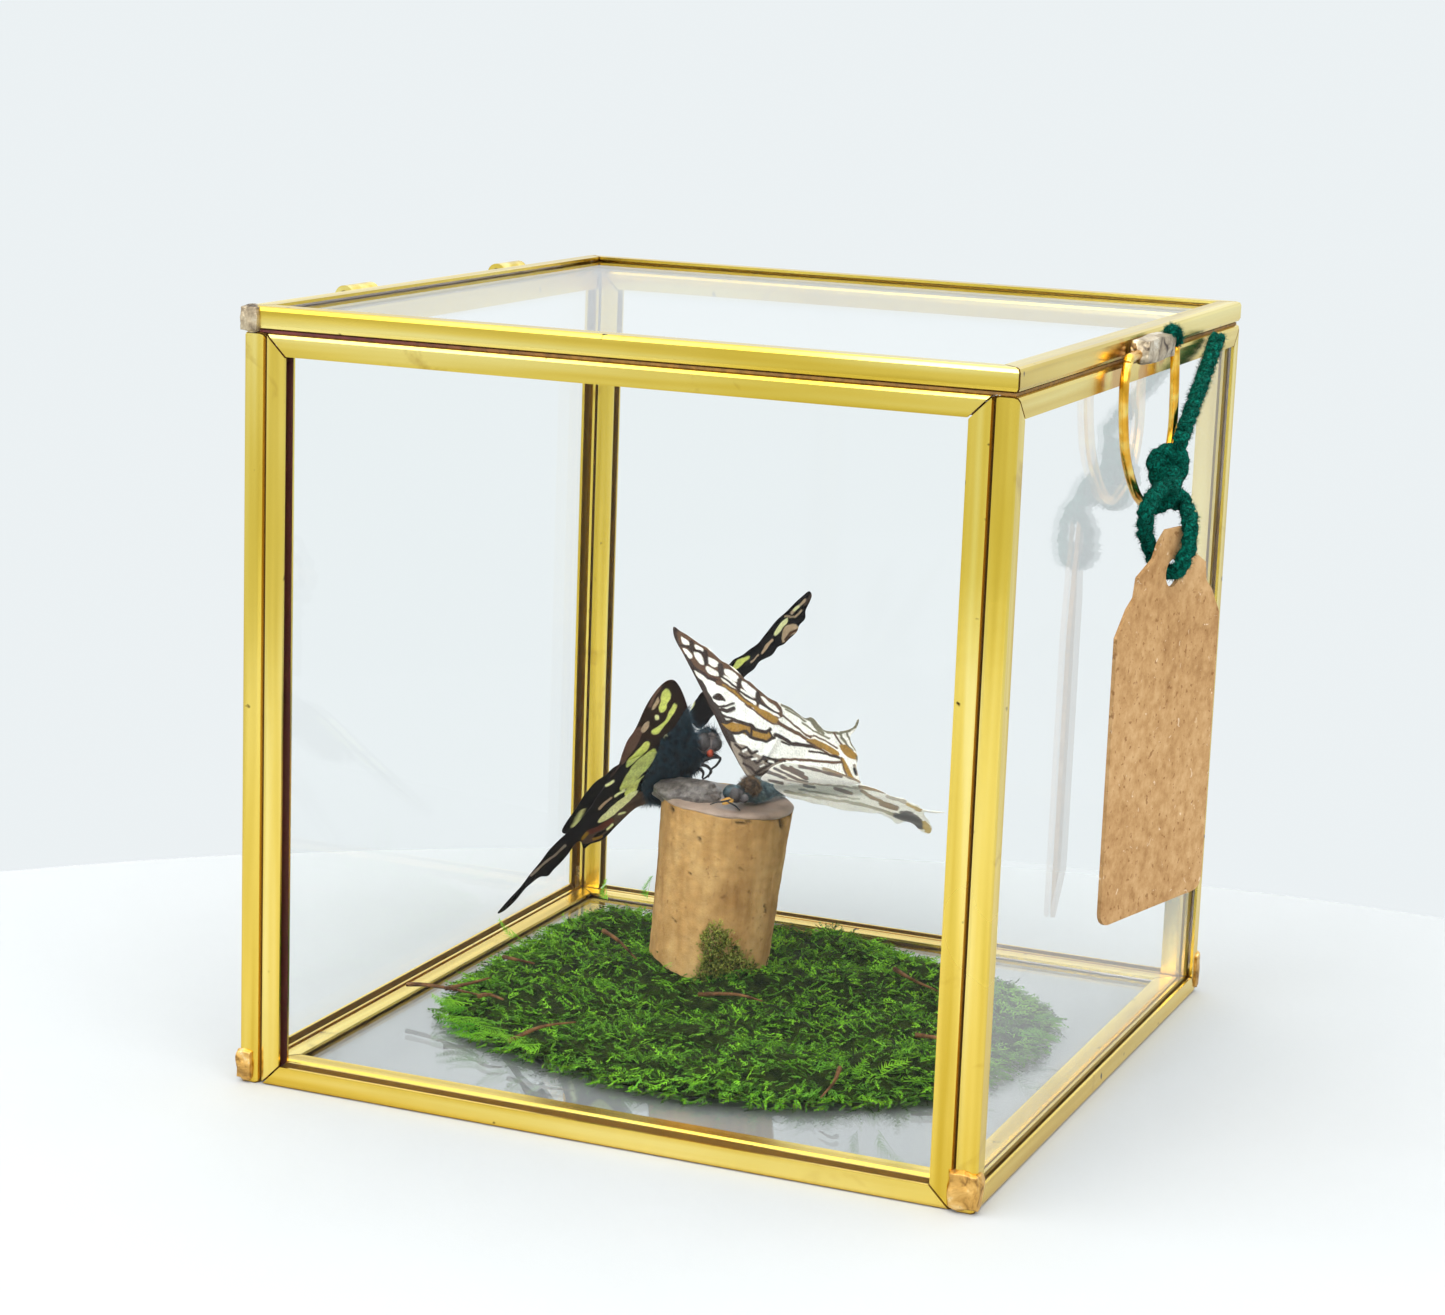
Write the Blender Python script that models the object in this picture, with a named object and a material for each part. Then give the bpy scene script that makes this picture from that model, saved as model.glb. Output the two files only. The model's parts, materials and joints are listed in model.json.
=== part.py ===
"""Two dried butterflies on a cork, in a hinged box of glass panes held in brass channel.

The origin is at the middle of the box's underside, +Z is up and +X is the side with the pull ring.
"""

import math

import bmesh
import bpy
from mathutils import Matrix, Vector

MM = 0.001
GAP = 0.3 * MM  # clearance between pieces that touch
TUBE_RESOLUTION = 2
CORNER_STEPS = 4

# The box
BOX_SIDE = 127 * MM
LID_HEIGHT = 3.6 * MM
LID_GAP = 0.5 * MM
CHANNEL_FACE = 3.5 * MM  # how far a strip covers the edge of its pane
CHANNEL_DEPTH = 3.6 * MM  # across the pane
CHANNEL_SHEET = 0.5 * MM
CHANNEL_ROUND = 0.7 * MM
PANE_THICKNESS = 2.0 * MM
PANE_SETBACK = 1.2 * MM  # from the panel's edge to the edge of its pane
SOLDER_REACH = 1.4 * MM
SOLDER_FOOT = 0.2 * MM
LID_SOLDER_DROP = 1.7 * MM  # from the box's top to the middle of the lid's blob
LID_SOLDER_RADIUS = 2.6 * MM

# The hinges, on the -X top edge
HINGE_X = -65.6 * MM
HINGE_Z = 125.6 * MM
HINGE_PLACES_Y = (-23.5 * MM, 32.5 * MM)
KNUCKLE_LENGTH = 9 * MM
KNUCKLE_RADIUS = 1.8 * MM
KNUCKLE_BORE = 0.95 * MM
STAPLE_WIRE = 0.6 * MM
STAPLE_FOOT_Z = 119.8 * MM
STAPLE_LOW_BEND = 3.6 * MM  # below the hinge's axis
STAPLE_HIGH_BEND = 2.0 * MM
STAPLE_CORNER = 0.5 * MM

# The pull ring and its clasp, on the +X top edge
RING_X = 65.5 * MM
RING_Z = 124.2 * MM
RING_WIRE = 0.8 * MM
RING_STEP = 2.2 * MM
# Half of a hand-bent D, from its bar's right end round to its left: (along Y, up) about the bar.
RING_STOPS = (
    (11.0, 0.0),
    (12.6, -1.3),
    (13.3, -5.0),
    (13.9, -9.5),
    (14.0, -14.5),
    (12.2, -19.2),
    (7.8, -23.0),
    (1.6, -24.9),
    (-4.4, -23.2),
    (-9.4, -19.6),
    (-13.2, -15.4),
    (-15.2, -11.0),
    (-16.2, -6.6),
    (-16.2, -3.0),
    (-14.6, -0.7),
    (-12.4, 0.0),
)
CLASP_LENGTH = 21.2 * MM
CLASP_BORE = 1.15 * MM
CLASP_OUTER_X = 67.4 * MM
CLASP_LOW = -1.9 * MM  # about the ring's bar
CLASP_HIGH = 2.5 * MM
CLASP_ROUND = 1.1 * MM

# What stands in the box
CORK_FOOT = (-11.8, 9.5, 4.2)
CORK_TOP = (-9.1, 10.6, 38.5)
CORK_FOOT_RADIUS = 10.4 * MM
CORK_TOP_RADIUS = 11.6 * MM
GLUE_DEPTH = 1.1 * MM
GLUE_MARGIN = 0.7 * MM  # from the cork's rim
BODY_CLEARANCE = 0.45 * MM  # between the glue and an insect's body
LUMP_MIDDLE = (-14.8, 6.2, 39.9)
LUMP_RADII = (6.2 * MM, 4.6 * MM, 2.9 * MM)
MOSS_BOTTOM = 3.1 * MM
MOSS_HEIGHT = 7.7 * MM
MOSS_ROUND = 3.0 * MM
WING_THICKNESS = 0.4 * MM
WING_STEP = 0.4 * MM  # a forewing and its hindwing lie this far to each side of their plane

# The hang tag and its yarn
TAG_HOLE = (70.5, 0.0, 88.7)
TAG_TURN = math.radians(13.7)
TAG_THICKNESS = 0.7 * MM
TAG_HOLE_RADIUS = 2.3 * MM
YARN_RADIUS = 1.25 * MM
YARN_STEP = 4 * YARN_RADIUS
LOOP_STEP = 2.4 * YARN_RADIUS  # finer, for its tight bends
KNOT_MIDDLE = (66.9, 7.6, 102.2)
KNOT_RADII = (3.0 * MM, 5.0 * MM, 6.2 * MM)


def mm(x, y, z):
    return Vector((x * MM, y * MM, z * MM))


def clear_scene():
    for item in list(bpy.data.objects):
        bpy.data.objects.remove(item, do_unlink=True)


def material(name, colour, roughness, metallic=0.0, transmission=0.0):
    made = bpy.data.materials.new(name)
    made.use_nodes = True
    shader = made.node_tree.nodes["Principled BSDF"]
    shader.inputs["Base Color"].default_value = (*colour, 1.0)
    shader.inputs["Roughness"].default_value = roughness
    shader.inputs["Metallic"].default_value = metallic
    shader.inputs["Transmission Weight"].default_value = transmission
    made.diffuse_color = (*colour, 1.0)
    return made


def placed(name, bm, finish, matrix=None, smooth=False):
    """Makes the bmesh an object with its place in the object's matrix."""
    bmesh.ops.recalc_face_normals(bm, faces=bm.faces)
    mesh = bpy.data.meshes.new(name)
    bm.to_mesh(mesh)
    bm.free()
    if smooth:
        mesh.shade_smooth()
        mesh.set_sharp_from_angle(angle=math.radians(40))
    mesh.materials.append(finish)
    made = bpy.data.objects.new(name, mesh)
    bpy.context.scene.collection.objects.link(made)
    if matrix is not None:
        made.matrix_world = matrix
    return made


def cutter(name, bm, matrix=None):
    made = placed(name, bm, MATERIALS["glue"], matrix)
    made.hide_render = True
    made.display_type = "WIRE"
    return made


def boolean(target, other, operation="DIFFERENCE"):
    change = target.modifiers.new(other.name, "BOOLEAN")
    change.operation = operation
    change.object = other


def axes_at(origin, x_axis, y_axis):
    """A matrix whose X is x_axis and whose Y is as near to y_axis as it can be."""
    x = Vector(x_axis).normalized()
    z = x.cross(Vector(y_axis)).normalized()
    y = z.cross(x)
    return Matrix.Translation(origin) @ Matrix((x, y, z)).transposed().to_4x4()


def along(origin, direction):
    """A matrix whose Z is the direction."""
    turn = Vector(direction).normalized().to_track_quat("Z", "Y")
    return Matrix.Translation(origin) @ turn.to_matrix().to_4x4()


def extruded(outline, depth):
    """A plate of this outline in XY, from z = 0 to depth."""
    bm = bmesh.new()
    face = bm.faces.new([bm.verts.new((x, y, 0)) for x, y in outline])
    made = bmesh.ops.extrude_face_region(bm, geom=[face])
    moved = [item for item in made["geom"] if isinstance(item, bmesh.types.BMVert)]
    bmesh.ops.translate(bm, verts=moved, vec=(0, 0, depth))
    return bm


def turned(profile, steps):
    """A solid of revolution about Z from (radius, z) points that start and end on the axis."""
    bm = bmesh.new()
    points = [bm.verts.new((radius, 0, z)) for radius, z in profile]
    edges = [bm.edges.new(pair) for pair in zip(points, points[1:])]
    bmesh.ops.spin(
        bm,
        geom=points + edges,
        cent=(0, 0, 0),
        axis=(0, 0, 1),
        angle=math.tau,
        steps=steps,
        use_merge=True,
    )
    bmesh.ops.remove_doubles(bm, verts=bm.verts, dist=0.001 * MM)
    return bm


def ball(radii, segments=20, rings=12):
    bm = bmesh.new()
    bmesh.ops.create_uvsphere(bm, u_segments=segments, v_segments=rings, radius=1.0)
    bmesh.ops.scale(bm, vec=radii, verts=bm.verts)
    return bm


def block(low, high):
    bm = bmesh.new()
    bmesh.ops.create_cube(bm, size=1.0)
    low, high = Vector(low), Vector(high)
    bmesh.ops.scale(bm, vec=high - low, verts=bm.verts)
    bmesh.ops.translate(bm, vec=(low + high) / 2, verts=bm.verts)
    return bm


def tube(name, points, radius, finish, closed=False):
    """A round wire or cord through these points."""
    curve = bpy.data.curves.new(name, "CURVE")
    curve.dimensions = "3D"
    curve.bevel_depth = radius
    curve.bevel_resolution = TUBE_RESOLUTION
    curve.use_fill_caps = True
    spline = curve.splines.new("POLY")
    spline.points.add(len(points) - 1)
    for target, point in zip(spline.points, points):
        target.co = (*point, 1.0)
    spline.use_cyclic_u = closed
    curve.materials.append(finish)
    made = bpy.data.objects.new(name, curve)
    bpy.context.scene.collection.objects.link(made)
    return made


def arc(centre, radius, start, end, count):
    """Points in a plane, from one angle in degrees to another."""
    angles = [math.radians(start + (end - start) * i / count) for i in range(count + 1)]
    return [(centre[0] + radius * math.cos(a), centre[1] + radius * math.sin(a)) for a in angles]


def smooth_route(stops, step):
    """Points a step apart on the Catmull-Rom curve through the stops."""
    ends = [2 * stops[0] - stops[1], *stops, 2 * stops[-1] - stops[-2]]
    fine = []
    for a, b, c, d in zip(ends, ends[1:], ends[2:], ends[3:]):
        for i in range(20):
            t = i / 20
            fine.append(
                0.5
                * (
                    2 * b
                    + (c - a) * t
                    + (2 * a - 5 * b + 4 * c - d) * t**2
                    + (3 * b - a - 3 * c + d) * t**3
                )
            )
    fine.append(stops[-1])
    lengths = [0.0]
    for a, b in zip(fine, fine[1:]):
        lengths.append(lengths[-1] + (b - a).length)
    count = max(2, round(lengths[-1] / step))
    route = []
    for i in range(count + 1):
        wanted = lengths[-1] * i / count
        after = next((k for k, at in enumerate(lengths) if at >= wanted - 1e-9), len(fine) - 1)
        after = max(after, 1)
        part = (wanted - lengths[after - 1]) / (lengths[after] - lengths[after - 1])
        route.append(fine[after - 1].lerp(fine[after], part))
    return route


# --- Glass panels in brass channel ---------------------------------------------------------------


def channel_strip(name, length, finish, matrix):
    """A U-section strip along X, open towards +Y, with mitred ends."""
    half = CHANNEL_DEPTH / 2
    arm = half - CHANNEL_SHEET
    section = [
        (0, -half),
        (CHANNEL_FACE, -half),
        (CHANNEL_FACE, -arm),
        (CHANNEL_SHEET, -arm),
        (CHANNEL_SHEET, arm),
        (CHANNEL_FACE, arm),
        (CHANNEL_FACE, half),
        (0, half),
    ]
    bm = bmesh.new()
    face = bm.faces.new([bm.verts.new((-1, y, z)) for y, z in section])
    made = bmesh.ops.extrude_face_region(bm, geom=[face])
    moved = [item for item in made["geom"] if isinstance(item, bmesh.types.BMVert)]
    bmesh.ops.translate(bm, verts=moved, vec=(2, 0, 0))
    mitre_gap = GAP / 2 * math.sqrt(2)
    for vert in bm.verts:
        end = length / 2 - vert.co.y - mitre_gap
        vert.co.x = math.copysign(end, vert.co.x)
    outer = [
        edge
        for edge in bm.edges
        if all(v.co.y < CHANNEL_SHEET / 2 for v in edge.verts) and edge.calc_length() > CHANNEL_DEPTH * 2
    ]
    bmesh.ops.bevel(
        bm, geom=outer, offset=CHANNEL_ROUND, segments=2, profile=0.5, affect="EDGES", material=-1
    )
    return placed(name, bm, finish, matrix)


def panel(name, centre, u_axis, v_axis, width, height, sides):
    """A pane and the four strips round it; sides names the strips at -u, +u, -v and +v."""
    centre = Vector(centre)
    u, v = Vector(u_axis), Vector(v_axis)
    strips = (
        (sides[0], centre - u * width / 2, v, u, height),
        (sides[1], centre + u * width / 2, v, -u, height),
        (sides[2], centre - v * height / 2, u, v, width),
        (sides[3], centre + v * height / 2, u, -v, width),
    )
    for side, place, run, inward, length in strips:
        matrix = axes_at(place, run, inward)
        channel_strip(f"{name}_strip_{side}", length, MATERIALS["brass"], matrix)
    half = Vector((width / 2 - PANE_SETBACK, height / 2 - PANE_SETBACK, PANE_THICKNESS / 2))
    placed(f"{name}_pane", block(-half, half), MATERIALS["glass"], axes_at(centre, u, v))


def glass_box():
    wall_height = BOX_SIDE - LID_HEIGHT - LID_GAP
    wall = BOX_SIDE / 2 - CHANNEL_DEPTH / 2
    between = BOX_SIDE - 2 * (CHANNEL_DEPTH + GAP)
    x, y, z = Vector((1, 0, 0)), Vector((0, 1, 0)), Vector((0, 0, 1))
    middle = wall_height / 2
    upright = ("left", "right", "bottom", "top")
    panel("front", (0, -wall, middle), x, z, between, wall_height, upright)
    panel("back", (0, wall, middle), x, z, between, wall_height, upright)
    upright = ("front", "back", "bottom", "top")
    panel("left", (-wall, 0, middle), y, z, BOX_SIDE, wall_height, upright)
    panel("right", (wall, 0, middle), y, z, BOX_SIDE, wall_height, upright)
    flat = ("left", "right", "front", "back")
    panel("bottom", (0, 0, CHANNEL_DEPTH / 2), x, y, between, between, flat)


def glass_lid():
    flat = ("left", "right", "front", "back")
    centre = (0, 0, BOX_SIDE - CHANNEL_DEPTH / 2)
    x, y = Vector((1, 0, 0)), Vector((0, 1, 0))
    panel("lid", centre, x, y, BOX_SIDE, BOX_SIDE, flat)
    add_solder("solder_lid_front_left", -1, -1, BOX_SIDE - LID_SOLDER_DROP, LID_SOLDER_RADIUS)


def add_solder(name, x_side, y_side, z, z_radius):
    """A blob of solder wrapped round an upright corner of the box, outside the strips."""
    corner = BOX_SIDE / 2
    place = Vector((x_side * corner, y_side * corner, z))
    blob = placed(
        name,
        ball((SOLDER_REACH, SOLDER_REACH, z_radius)),
        MATERIALS["solder"],
        Matrix.Translation(place),
        smooth=True,
    )
    reach = corner + GAP
    x_range = sorted((0, x_side * reach))
    y_range = sorted((0, y_side * reach))
    core = block((x_range[0], y_range[0], -BOX_SIDE), (x_range[1], y_range[1], BOX_SIDE + GAP))
    boolean(blob, cutter(f"{name}_core", core))


def solder_blobs():
    """The joints at the feet of the four corners, each standing just clear of the ground."""
    for name, x_side, y_side, radius in (
        ("solder_front_left", -1, -1, 4.0 * MM),
        ("solder_front_right", 1, -1, 5.0 * MM),
        ("solder_back_left", -1, 1, 4.0 * MM),
        ("solder_back_right", 1, 1, 4.5 * MM),
    ):
        add_solder(name, x_side, y_side, radius + SOLDER_FOOT, radius)


# --- Hinges --------------------------------------------------------------------------------------


def knuckle(name, y):
    """A short tube soldered to the lid's edge, with its bore on the hinge's axis."""
    half = KNUCKLE_LENGTH / 2
    bm = bmesh.new()
    corners = [
        (KNUCKLE_BORE, -half),
        (KNUCKLE_RADIUS, -half),
        (KNUCKLE_RADIUS, half),
        (KNUCKLE_BORE, half),
    ]
    points = [bm.verts.new((radius, 0, z)) for radius, z in corners]
    edges = [bm.edges.new((a, b)) for a, b in zip(points, points[1:] + points[:1])]
    bmesh.ops.spin(
        bm,
        geom=points + edges,
        cent=(0, 0, 0),
        axis=(0, 0, 1),
        angle=math.tau,
        steps=20,
        use_merge=True,
    )
    placed(name, bm, MATERIALS["brass"], along((HINGE_X, y, HINGE_Z), (0, 1, 0)), smooth=True)


def staple(name, y):
    """The wire through a knuckle, its two legs bent down against the box."""
    leg = KNUCKLE_LENGTH / 2 + GAP + STAPLE_WIRE
    wall_x = -BOX_SIDE / 2 - GAP - STAPLE_WIRE
    side = [
        (wall_x, leg, STAPLE_FOOT_Z),
        (wall_x, leg, HINGE_Z - STAPLE_LOW_BEND),
        (HINGE_X, leg, HINGE_Z - STAPLE_HIGH_BEND),
        (HINGE_X, leg, HINGE_Z - STAPLE_CORNER),
        (HINGE_X, leg - STAPLE_CORNER, HINGE_Z),
    ]
    other = [(x, -offset, z) for x, offset, z in reversed(side)]
    points = [(x, y + offset, z) for x, offset, z in side + other]
    tube(name, points, STAPLE_WIRE, MATERIALS["brass"])


# --- Pull ring -----------------------------------------------------------------------------------


def ring_route():
    """The middle of the ring's wire, about the middle of its straight bar."""
    return smooth_route([mm(0, y, z) for y, z in RING_STOPS], RING_STEP)


def pull_ring():
    """A D of wire that hangs by its straight bar; the object's origin is on the bar's axis."""
    ring = tube("pull_ring", ring_route(), RING_WIRE, MATERIALS["brass"], closed=True)
    ring.location = (RING_X, 0, RING_Z)


def clasp():
    """The folded strip that carries the ring, soldered to the lid's edge."""
    inner = BOX_SIDE / 2 + GAP
    width = CLASP_OUTER_X - inner
    low, high = CLASP_LOW, CLASP_HIGH
    outline = [(0, low)]
    outline += arc((width - CLASP_ROUND, low + CLASP_ROUND), CLASP_ROUND, -90, 0, CORNER_STEPS)
    outline += arc((width - CLASP_ROUND, high - CLASP_ROUND), CLASP_ROUND, 0, 90, CORNER_STEPS)
    outline += [(0, high)]
    bm = extruded(outline, CLASP_LENGTH)
    place = axes_at((inner, CLASP_LENGTH / 2, RING_Z), (1, 0, 0), (0, 0, 1))
    made = placed("ring_clasp", bm, MATERIALS["solder"], place, smooth=True)
    bore = bmesh.new()
    bmesh.ops.create_cone(
        bore,
        cap_ends=True,
        segments=20,
        radius1=CLASP_BORE,
        radius2=CLASP_BORE,
        depth=CLASP_LENGTH * 1.5,
    )
    boolean(made, cutter("ring_clasp_bore", bore, along((RING_X, 0, RING_Z), (0, 1, 0))))


# --- Cork, glue and moss -------------------------------------------------------------------------


def cork_shape(extra=0.0, stretch=0.0):
    """The cork's cone about its own middle, or a copy of it grown on every side."""
    length = (mm(*CORK_TOP) - mm(*CORK_FOOT)).length
    bm = bmesh.new()
    bmesh.ops.create_cone(
        bm,
        cap_ends=True,
        segments=40,
        radius1=CORK_FOOT_RADIUS + extra,
        radius2=CORK_TOP_RADIUS + extra,
        depth=length + 2 * stretch,
    )
    return bm


def cork_place():
    foot, top = mm(*CORK_FOOT), mm(*CORK_TOP)
    return along((foot + top) / 2, top - foot)


def cork():
    placed("cork", cork_shape(), MATERIALS["cork"], cork_place(), smooth=True)


def glue():
    """A thin pool over the cork's top with a lump at its left, round the insects' bodies."""
    top = mm(*CORK_TOP)
    upward = top - mm(*CORK_FOOT)
    rim = CORK_TOP_RADIUS - GLUE_MARGIN
    pool = [(0, 0), (rim, 0), (rim, GLUE_DEPTH / 2), (rim - GLUE_DEPTH, GLUE_DEPTH), (0, GLUE_DEPTH)]
    place = along(top + upward.normalized() * GAP, upward)
    made = placed("glue", turned(pool, 32), MATERIALS["glue"], place, smooth=True)
    lump = Matrix.Translation(mm(*LUMP_MIDDLE))
    boolean(made, cutter("glue_lump", ball(LUMP_RADII), lump), "UNION")
    grown = cutter("glue_cork_gap", cork_shape(GAP, GAP), cork_place())
    boolean(made, grown)
    for name, profile, place in (
        ("glue_swordtail_gap", SWORDTAIL_BODY, SWORDTAIL_PLACE),
        ("glue_mapwing_gap", MAPWING_BODY, MAPWING_PLACE),
    ):
        hollow = cutter(name, body_shape(profile, BODY_CLEARANCE), body_place(place))
        boolean(made, hollow)


MOSS_OUTLINE = (
    (-47, -26),
    (-53, -12),
    (-54, 8),
    (-54, 30),
    (-52, 44),
    (-43, 51),
    (-26, 54),
    (-5, 53),
    (16, 50),
    (36, 38),
    (48, 24),
    (50, 8),
    (48, -7),
    (46, -19),
    (42, -28),
    (32, -36),
    (20, -43),
    (8, -46),
    (-4, -46),
    (-20, -41),
    (-34, -36),
)


def moss_mat():
    """The outer shape of the moss, without its tufts' tips, open round the cork."""
    outline = [(x * MM, y * MM) for x, y in reversed(MOSS_OUTLINE)]
    bm = extruded(outline, MOSS_HEIGHT)
    rim = [edge for edge in bm.edges if all(v.co.z > MOSS_HEIGHT / 2 for v in edge.verts)]
    bmesh.ops.bevel(
        bm, geom=rim, offset=MOSS_ROUND, segments=2, profile=0.5, affect="EDGES", material=-1
    )
    place = Matrix.Translation((0, 0, MOSS_BOTTOM))
    made = placed("moss_mat", bm, MATERIALS["moss"], place)
    boolean(made, cutter("moss_cork_gap", cork_shape(GAP, 3 * MM), cork_place()))


# --- Butterflies ---------------------------------------------------------------------------------

# Body outlines: (distance from the tail end, radius), in millimetres.
SWORDTAIL_BODY = (
    (0, 0),
    (0.5, 0.7),
    (3, 1.8),
    (7, 2.2),
    (9.5, 1.8),
    (11, 2.4),
    (14, 2.8),
    (17.5, 2.6),
    (20.5, 1.9),
    (21.8, 1.3),
    (22.6, 1.8),
    (24.2, 2.1),
    (25.6, 1.4),
    (26.2, 0),
)
MAPWING_BODY = (
    (0, 0),
    (0.5, 0.5),
    (3, 1.1),
    (8, 1.4),
    (12, 1.3),
    (14, 1.8),
    (17, 2.1),
    (20, 1.8),
    (21.5, 1.1),
    (22.3, 1.3),
    (23.5, 1.5),
    (24.8, 0.8),
    (25.2, 0),
)

# Each body's tail end and the way to its head.
SWORDTAIL_PLACE = ((-31.0, 21.0, 33.2), (0.698, -0.351, 0.624))
MAPWING_PLACE = ((1.1, 26.2, 39.2), (-0.292, -0.948, 0.100))

# Each wing plane: its root, the way to the forewing's tip and the way to the hindwing's tail.
SWORDTAIL_NEAR = ((-18.6, 12.1, 41.3), (0.196, -0.682, 0.705), (-0.704, -0.598, -0.384))
SWORDTAIL_FAR = ((-18.8, 16.2, 50.4), (0.351, 0.729, 0.587), (-0.273, 0.680, -0.681))
SWORDTAIL_FAR_HIND = ((-22.5, 22.1, 43.7), (-0.787, -0.026, -0.616), (-0.186, -0.943, 0.278))
MAPWING_NEAR = ((-1.9, 9.3, 42.4), (0.746, -0.619, 0.246), (0.664, 0.660, -0.350))
MAPWING_FAR = ((-5.5, 10.3, 43.5), (-0.528, 0.048, 0.848), (0.329, 0.932, 0.152))

# Wing outlines in their planes, in millimetres.
SWORDTAIL_NEAR_FORE = (
    (1, 0.5),
    (5.5, -3.4),
    (12, -3.2),
    (20, -2.6),
    (26, -2),
    (30, -0.8),
    (31.2, 0.5),
    (30.4, 2.2),
    (25.4, 4.8),
    (19.5, 8),
    (14.3, 10.6),
    (9.5, 13.2),
    (7.5, 14.4),
    (2, 8),
)
SWORDTAIL_NEAR_HIND = (
    (1.5, 3),
    (6, 11),
    (7, 14.8),
    (1.7, 18.5),
    (-1.7, 23.3),
    (-5.8, 27.7),
    (-11.8, 34.3),
    (-16.3, 38),
    (-14.6, 34.4),
    (-11.4, 31.7),
    (-11.8, 27.4),
    (-8, 23.8),
    (-5.5, 21.2),
    (-8.2, 20.5),
    (-8.5, 17.1),
    (-4.6, 12.8),
    (-2.8, 8.7),
    (-0.4, 5.5),
)
SWORDTAIL_FAR_FORE = (
    (1.5, -6),
    (10.4, -5.6),
    (17.8, -3.2),
    (24.2, -2.9),
    (32.1, -1.2),
    (34.4, 0),
    (34.4, 2),
    (32.2, 6.2),
    (28.2, 8.2),
    (21.6, 6.3),
    (15, 5),
    (5.4, 5.4),
    (0.5, 4),
)
SWORDTAIL_FAR_HIND_OUTLINE = (
    (2, 0.5),
    (1.5, 8.5),
    (5, 11),
    (11.6, 10.3),
    (16.7, 8.8),
    (23.7, 4.3),
    (30.3, -0.5),
    (30.9, -4.5),
    (26.4, -7),
    (15.6, -5),
    (7, -3),
)
MAPWING_NEAR_FORE = (
    (1.5, -1),
    (10, -5),
    (18, -8),
    (25, -9.4),
    (28.8, -8),
    (31.2, -5),
    (31, -0.5),
    (29.5, 2.5),
    (24, 6),
    (14, 6),
    (4, 3),
)
MAPWING_NEAR_HIND = (
    (1.8, 1.2),
    (14, 4),
    (29, 4.5),
    (29.8, 10.7),
    (26.6, 16.8),
    (27, 20.3),
    (22.5, 19.4),
    (17.4, 23.2),
    (12.6, 26.8),
    (8.7, 29),
    (6, 27.5),
    (8.5, 23.5),
    (7, 20),
    (5.3, 16.5),
    (1.6, 13.5),
    (0.5, 7),
)
MAPWING_FAR_FORE = (
    (1, -0.6),
    (6, -1.5),
    (14, -1.4),
    (22, -1.4),
    (27, -0.8),
    (28.5, 0.2),
    (27.2, 1.8),
    (23.4, 5.3),
    (16.4, 10.5),
    (9.5, 15.1),
    (5, 9),
    (0.5, 1),
)
MAPWING_FAR_HIND = (
    (0, 2),
    (8, 11),
    (9, 15),
    (4.4, 20.4),
    (1, 24),
    (-0.4, 27),
    (0.7, 30.7),
    (-2, 26.8),
    (-6, 26),
    (-10, 24.4),
    (-10.6, 22.5),
    (-6, 15),
    (-2.5, 8),
)


def body_shape(profile, extra=0.0):
    """An insect's body along Z, its tail at the origin, or a copy grown on every side."""
    inner = [(radius * MM + extra, distance * MM) for distance, radius in profile[1:-1]]
    first = profile[0][0] * MM - extra
    last = profile[-1][0] * MM + extra
    return turned([(0, first), *inner, (0, last)], 20)


def body_place(place):
    tail, head_way = place
    return along(mm(*tail), head_way)


def wing(name, plane, outline, step, finish):
    """A thin plate in a wing's plane, moved along the plane's normal by step."""
    root, tip_way, tail_way = plane
    matrix = axes_at(mm(*root), tip_way, tail_way)
    matrix = matrix @ Matrix.Translation((0, 0, step - WING_THICKNESS / 2))
    bm = extruded([(x * MM, y * MM) for x, y in outline], WING_THICKNESS)
    placed(name, bm, MATERIALS[finish], matrix)


def swordtail():
    body = body_shape(SWORDTAIL_BODY)
    placed("swordtail_body", body, MATERIALS["swordtail_body"], body_place(SWORDTAIL_PLACE), smooth=True)
    for name, plane, outline, step in (
        ("swordtail_forewing_near", SWORDTAIL_NEAR, SWORDTAIL_NEAR_FORE, -WING_STEP),
        ("swordtail_hindwing_near", SWORDTAIL_NEAR, SWORDTAIL_NEAR_HIND, WING_STEP),
        ("swordtail_forewing_far", SWORDTAIL_FAR, SWORDTAIL_FAR_FORE, 0.0),
        ("swordtail_hindwing_far", SWORDTAIL_FAR_HIND, SWORDTAIL_FAR_HIND_OUTLINE, 0.0),
    ):
        wing(name, plane, outline, step, "swordtail_wing")


def mapwing():
    body = body_shape(MAPWING_BODY)
    placed("mapwing_body", body, MATERIALS["mapwing_body"], body_place(MAPWING_PLACE), smooth=True)
    for name, plane, outline, step in (
        ("mapwing_forewing_near", MAPWING_NEAR, MAPWING_NEAR_FORE, WING_STEP),
        ("mapwing_hindwing_near", MAPWING_NEAR, MAPWING_NEAR_HIND, -WING_STEP),
        ("mapwing_forewing_far", MAPWING_FAR, MAPWING_FAR_FORE, -WING_STEP),
        ("mapwing_hindwing_far", MAPWING_FAR, MAPWING_FAR_HIND, WING_STEP),
    ):
        wing(name, plane, outline, step, "mapwing_wing")


# --- Tag and yarn --------------------------------------------------------------------------------

# The tag's right-hand outline from its top to its foot, about its hole: (across, up) in millimetres.
TAG_HALF_OUTLINE = (
    (2.6, 7.3),
    (4.7, 5.6),
    (6.2, 3.0),
    (11.0, 0.5),
    (11.6, -2.6),
    (13.6, -4.2),
    (16.75, -8.5),
)
TAG_FOOT = -55.7 * MM
TAG_CORNER = 2.5 * MM


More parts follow.
